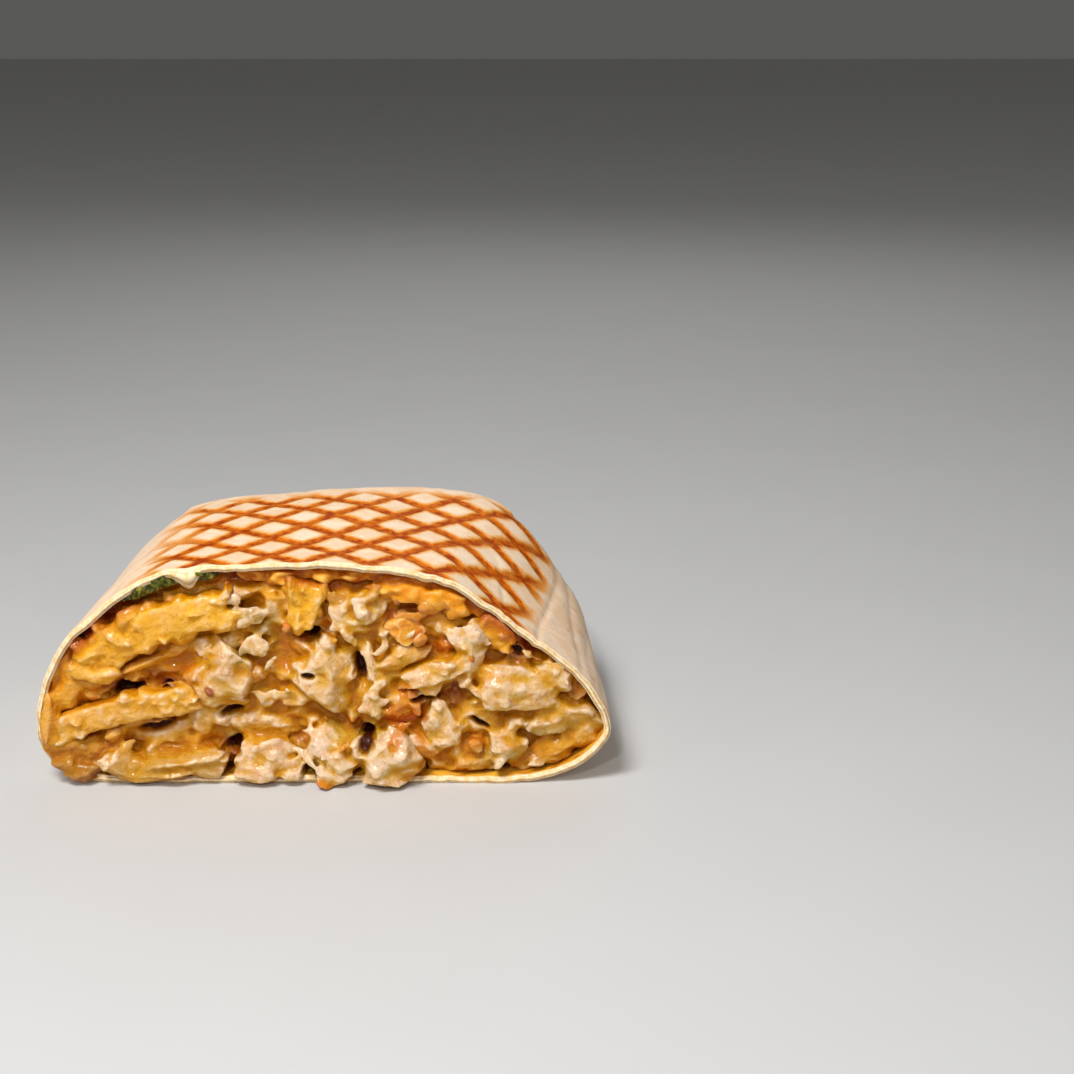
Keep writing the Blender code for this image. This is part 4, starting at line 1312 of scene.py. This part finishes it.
def chicken_look():
    look = wet_look("chicken")
    ridge = look.attribute("ridge")
    bare = look.attribute("bare")
    froth = look.times(bare, look.span(look.noise(1.6, 2.0, 0.5, offset=7.0), 0.48, 0.64, 0.0, 0.5))
    # crest_highlight: where the painted highlight on the crests lies
    crest_highlight = look.times(look.math("ADD", bare, 0.2), look.span(ridge, 0.0, 0.2, 0.0, 0.6))
    look.set("Base Color", look.layered(
        look.attribute("tint", "Color"),
        (look.span(look.noise(2.4, 3.0, 0.5), 0.50, 0.70, 0.0, 0.45), srgb(214, 150, 30)),
        (froth, srgb(240, 212, 178)),
        # painted highlight on the crests of the chicken
        (crest_highlight, srgb(238, 208, 172)),
        # painted shade in the broad hollows
        (look.span(look.attribute("bulk"), -0.15, -0.9, 0.0, 0.5), srgb(196, 116, 12)),
        # amber in shallow valleys: partly sauce lying there, partly painted shade
        (look.span(ridge, 0.0, -0.2, 0.0, 0.5), srgb(196, 134, 14)),
        # painted shade in the deep valleys
        (look.span(ridge, -0.16, -0.42, 0.0, 0.9), srgb(120, 48, 0)),
        # painted shade: near-black in the hollows between the pieces
        (look.attribute("hollow_shade"), TONES["dark"]),
        (look.span(look.noise(1.1, 2.0, offset=5.0), 0.66, 0.72, 0.0, 0.5), srgb(190, 88, 8)),
        (look.span(look.noise(0.6, 1.0, offset=9.0), 0.78, 0.81, 0.0, 0.8), srgb(60, 40, 14))))
    rough = look.span(look.noise(1.5, 1.0, offset=2.0), 0.35, 0.62, 0.12, 0.38)
    look.set("Roughness", look.math("ADD", rough, look.span(bare, 0.0, 0.25, 0.3, 0.0)))
    grain = look.math("ADD", look.noise(0.6, 1.0), look.times(look.noise(1.6, 1.0), 1.6))
    look.set("Normal", look.bump(grain, 0.22))
    return look.material


def smooth_cheese(look, colour):
    """The finish of melted cheese: soft ripples and a gloss that varies from place to place."""
    look.set("Base Color", colour)
    look.set("Roughness", look.span(look.noise(1.8, 2.0), 0.35, 0.65, 0.2, 0.42))
    look.set("Normal", look.bump(look.noise(1.3, 1.5), 0.3))
    return look.material


def cheddar_look():
    look = wet_look("melted_cheddar")
    ridge = look.attribute("ridge")
    return smooth_cheese(look, look.layered(
        TONES["orange"],
        (look.span(look.noise(4.0, 3.0), 0.35, 0.65), TONES["yellow"]),
        # painted highlight on the ridges
        (look.span(ridge, 0.02, 0.2, 0.0, 0.6), srgb(248, 206, 126)),
        (look.span(look.noise(1.7, 4.0, 0.6, offset=6.0), 0.50, 0.68, 0.0, 0.5), srgb(246, 200, 116)),
        # painted shade in the valleys
        (look.span(ridge, -0.02, -0.2, 0.0, 0.85), TONES["amber"]),
        # painted shade in the recesses behind the face
        (look.times(look.attribute("recess"), 0.8), TONES["brown"]),
        (look.span(look.noise(0.6, 1.0, offset=9.0), 0.76, 0.79, 0.0, 0.7), srgb(90, 50, 14))))


def sauce_spread_look():
    """Cheese sauce with painted shade, orange-brown, on its recessed parts and in its valleys, and a painted
    highlight on its ridges.
    """
    look = wet_look("cheese_sauce")
    look.set("Coat Weight", 0.05)
    ridge = look.attribute("ridge")
    # patchy painted shade on the recessed parts under the rim
    patchy_recess_shade = look.times(look.attribute("recess"), look.span(look.noise(3.0, 3.0), 0.35, 0.6, 0.45, 1.0))
    return smooth_cheese(look, look.layered(
        TONES["amber"],
        (look.span(look.noise(4.0, 3.0), 0.35, 0.65), TONES["yellow"]),
        # painted highlight on the ridges
        (look.span(ridge, 0.04, 0.3, 0.0, 0.4), srgb(252, 210, 120)),
        # painted shade in the valleys and recesses
        (look.math("MAXIMUM", look.span(ridge, -0.02, -0.24, 0.0, 0.85), patchy_recess_shade), srgb(160, 74, 2))))


def herb_look():
    look = wet_look("herb_sauce")
    look.set("Base Color", look.layered(
        srgb(40, 44, 6),
        (look.span(look.noise(0.9, 3.0), 0.42, 0.6), srgb(98, 100, 16)),
        (look.span(look.noise(1.4, 2.0, offset=4.0), 0.56, 0.64), srgb(160, 140, 48))))
    look.set("Normal", look.bump(look.noise(0.5, 3.0), 0.3))
    return look.material


# Stage, light and camera

def studio():
    bpy.ops.mesh.primitive_plane_add(size=6.0, location=(0.0, 0.0, 0.0))
    floor = bpy.context.object
    floor.name = "floor"
    look = Look("floor", 0.6)
    look.set("Base Color", look.mix(look.noise(40.0), (0.62, 0.615, 0.605), (0.65, 0.645, 0.635)))
    floor.data.materials.append(look.material)
    world = bpy.data.worlds.new("studio")
    bpy.context.scene.world = world
    world.use_nodes = True
    background = world.node_tree.nodes["Background"]
    background.inputs["Color"].default_value = (1.0, 0.99, 0.97, 1.0)
    background.inputs["Strength"].default_value = WORLD_STRENGTH
    for name, (place, size, power) in LIGHTS.items():
        area_light(name, place, size, power)
    bpy.context.scene.view_settings.view_transform = "Standard"


def area_light(name, place, size, power):
    data = bpy.data.lights.new(name, "AREA")
    data.size = size
    data.energy = power
    item = bpy.data.objects.new(name, data)
    item.location = place
    item.rotation_euler = (Vector((0.0, 0.0, 0.02)) - Vector(place)).to_track_quat("-Z", "Y").to_euler()
    bpy.context.scene.collection.objects.link(item)


def camera():
    """The photograph's view: 17 degrees down, the parcel left of the middle of the frame."""
    data = bpy.data.cameras.new("camera")
    data.sensor_width = 36.0
    data.lens = CAMERA_LENS
    data.clip_start = 0.01
    item = bpy.data.objects.new("camera", data)
    item.location = ORIGIN + np.array(CAMERA_PLACE) * MM
    item.rotation_euler = (math.radians(90.0 - CAMERA_DIP), 0.0, 0.0)
    bpy.context.scene.collection.objects.link(item)
    bpy.context.scene.camera = item


ORIGIN = origin_on_frame()
camera()
studio()
wrap()
chicken()
for fry_name in FRIES:
    fry(fry_name)
sauce_layer("cheese_spread", "cheese_sauce", cheese_folds(), sauce_spread_look())
sauce_layer("herb_spread", "herb_sauce", herb_beads(), herb_look())
cheddar_piece()
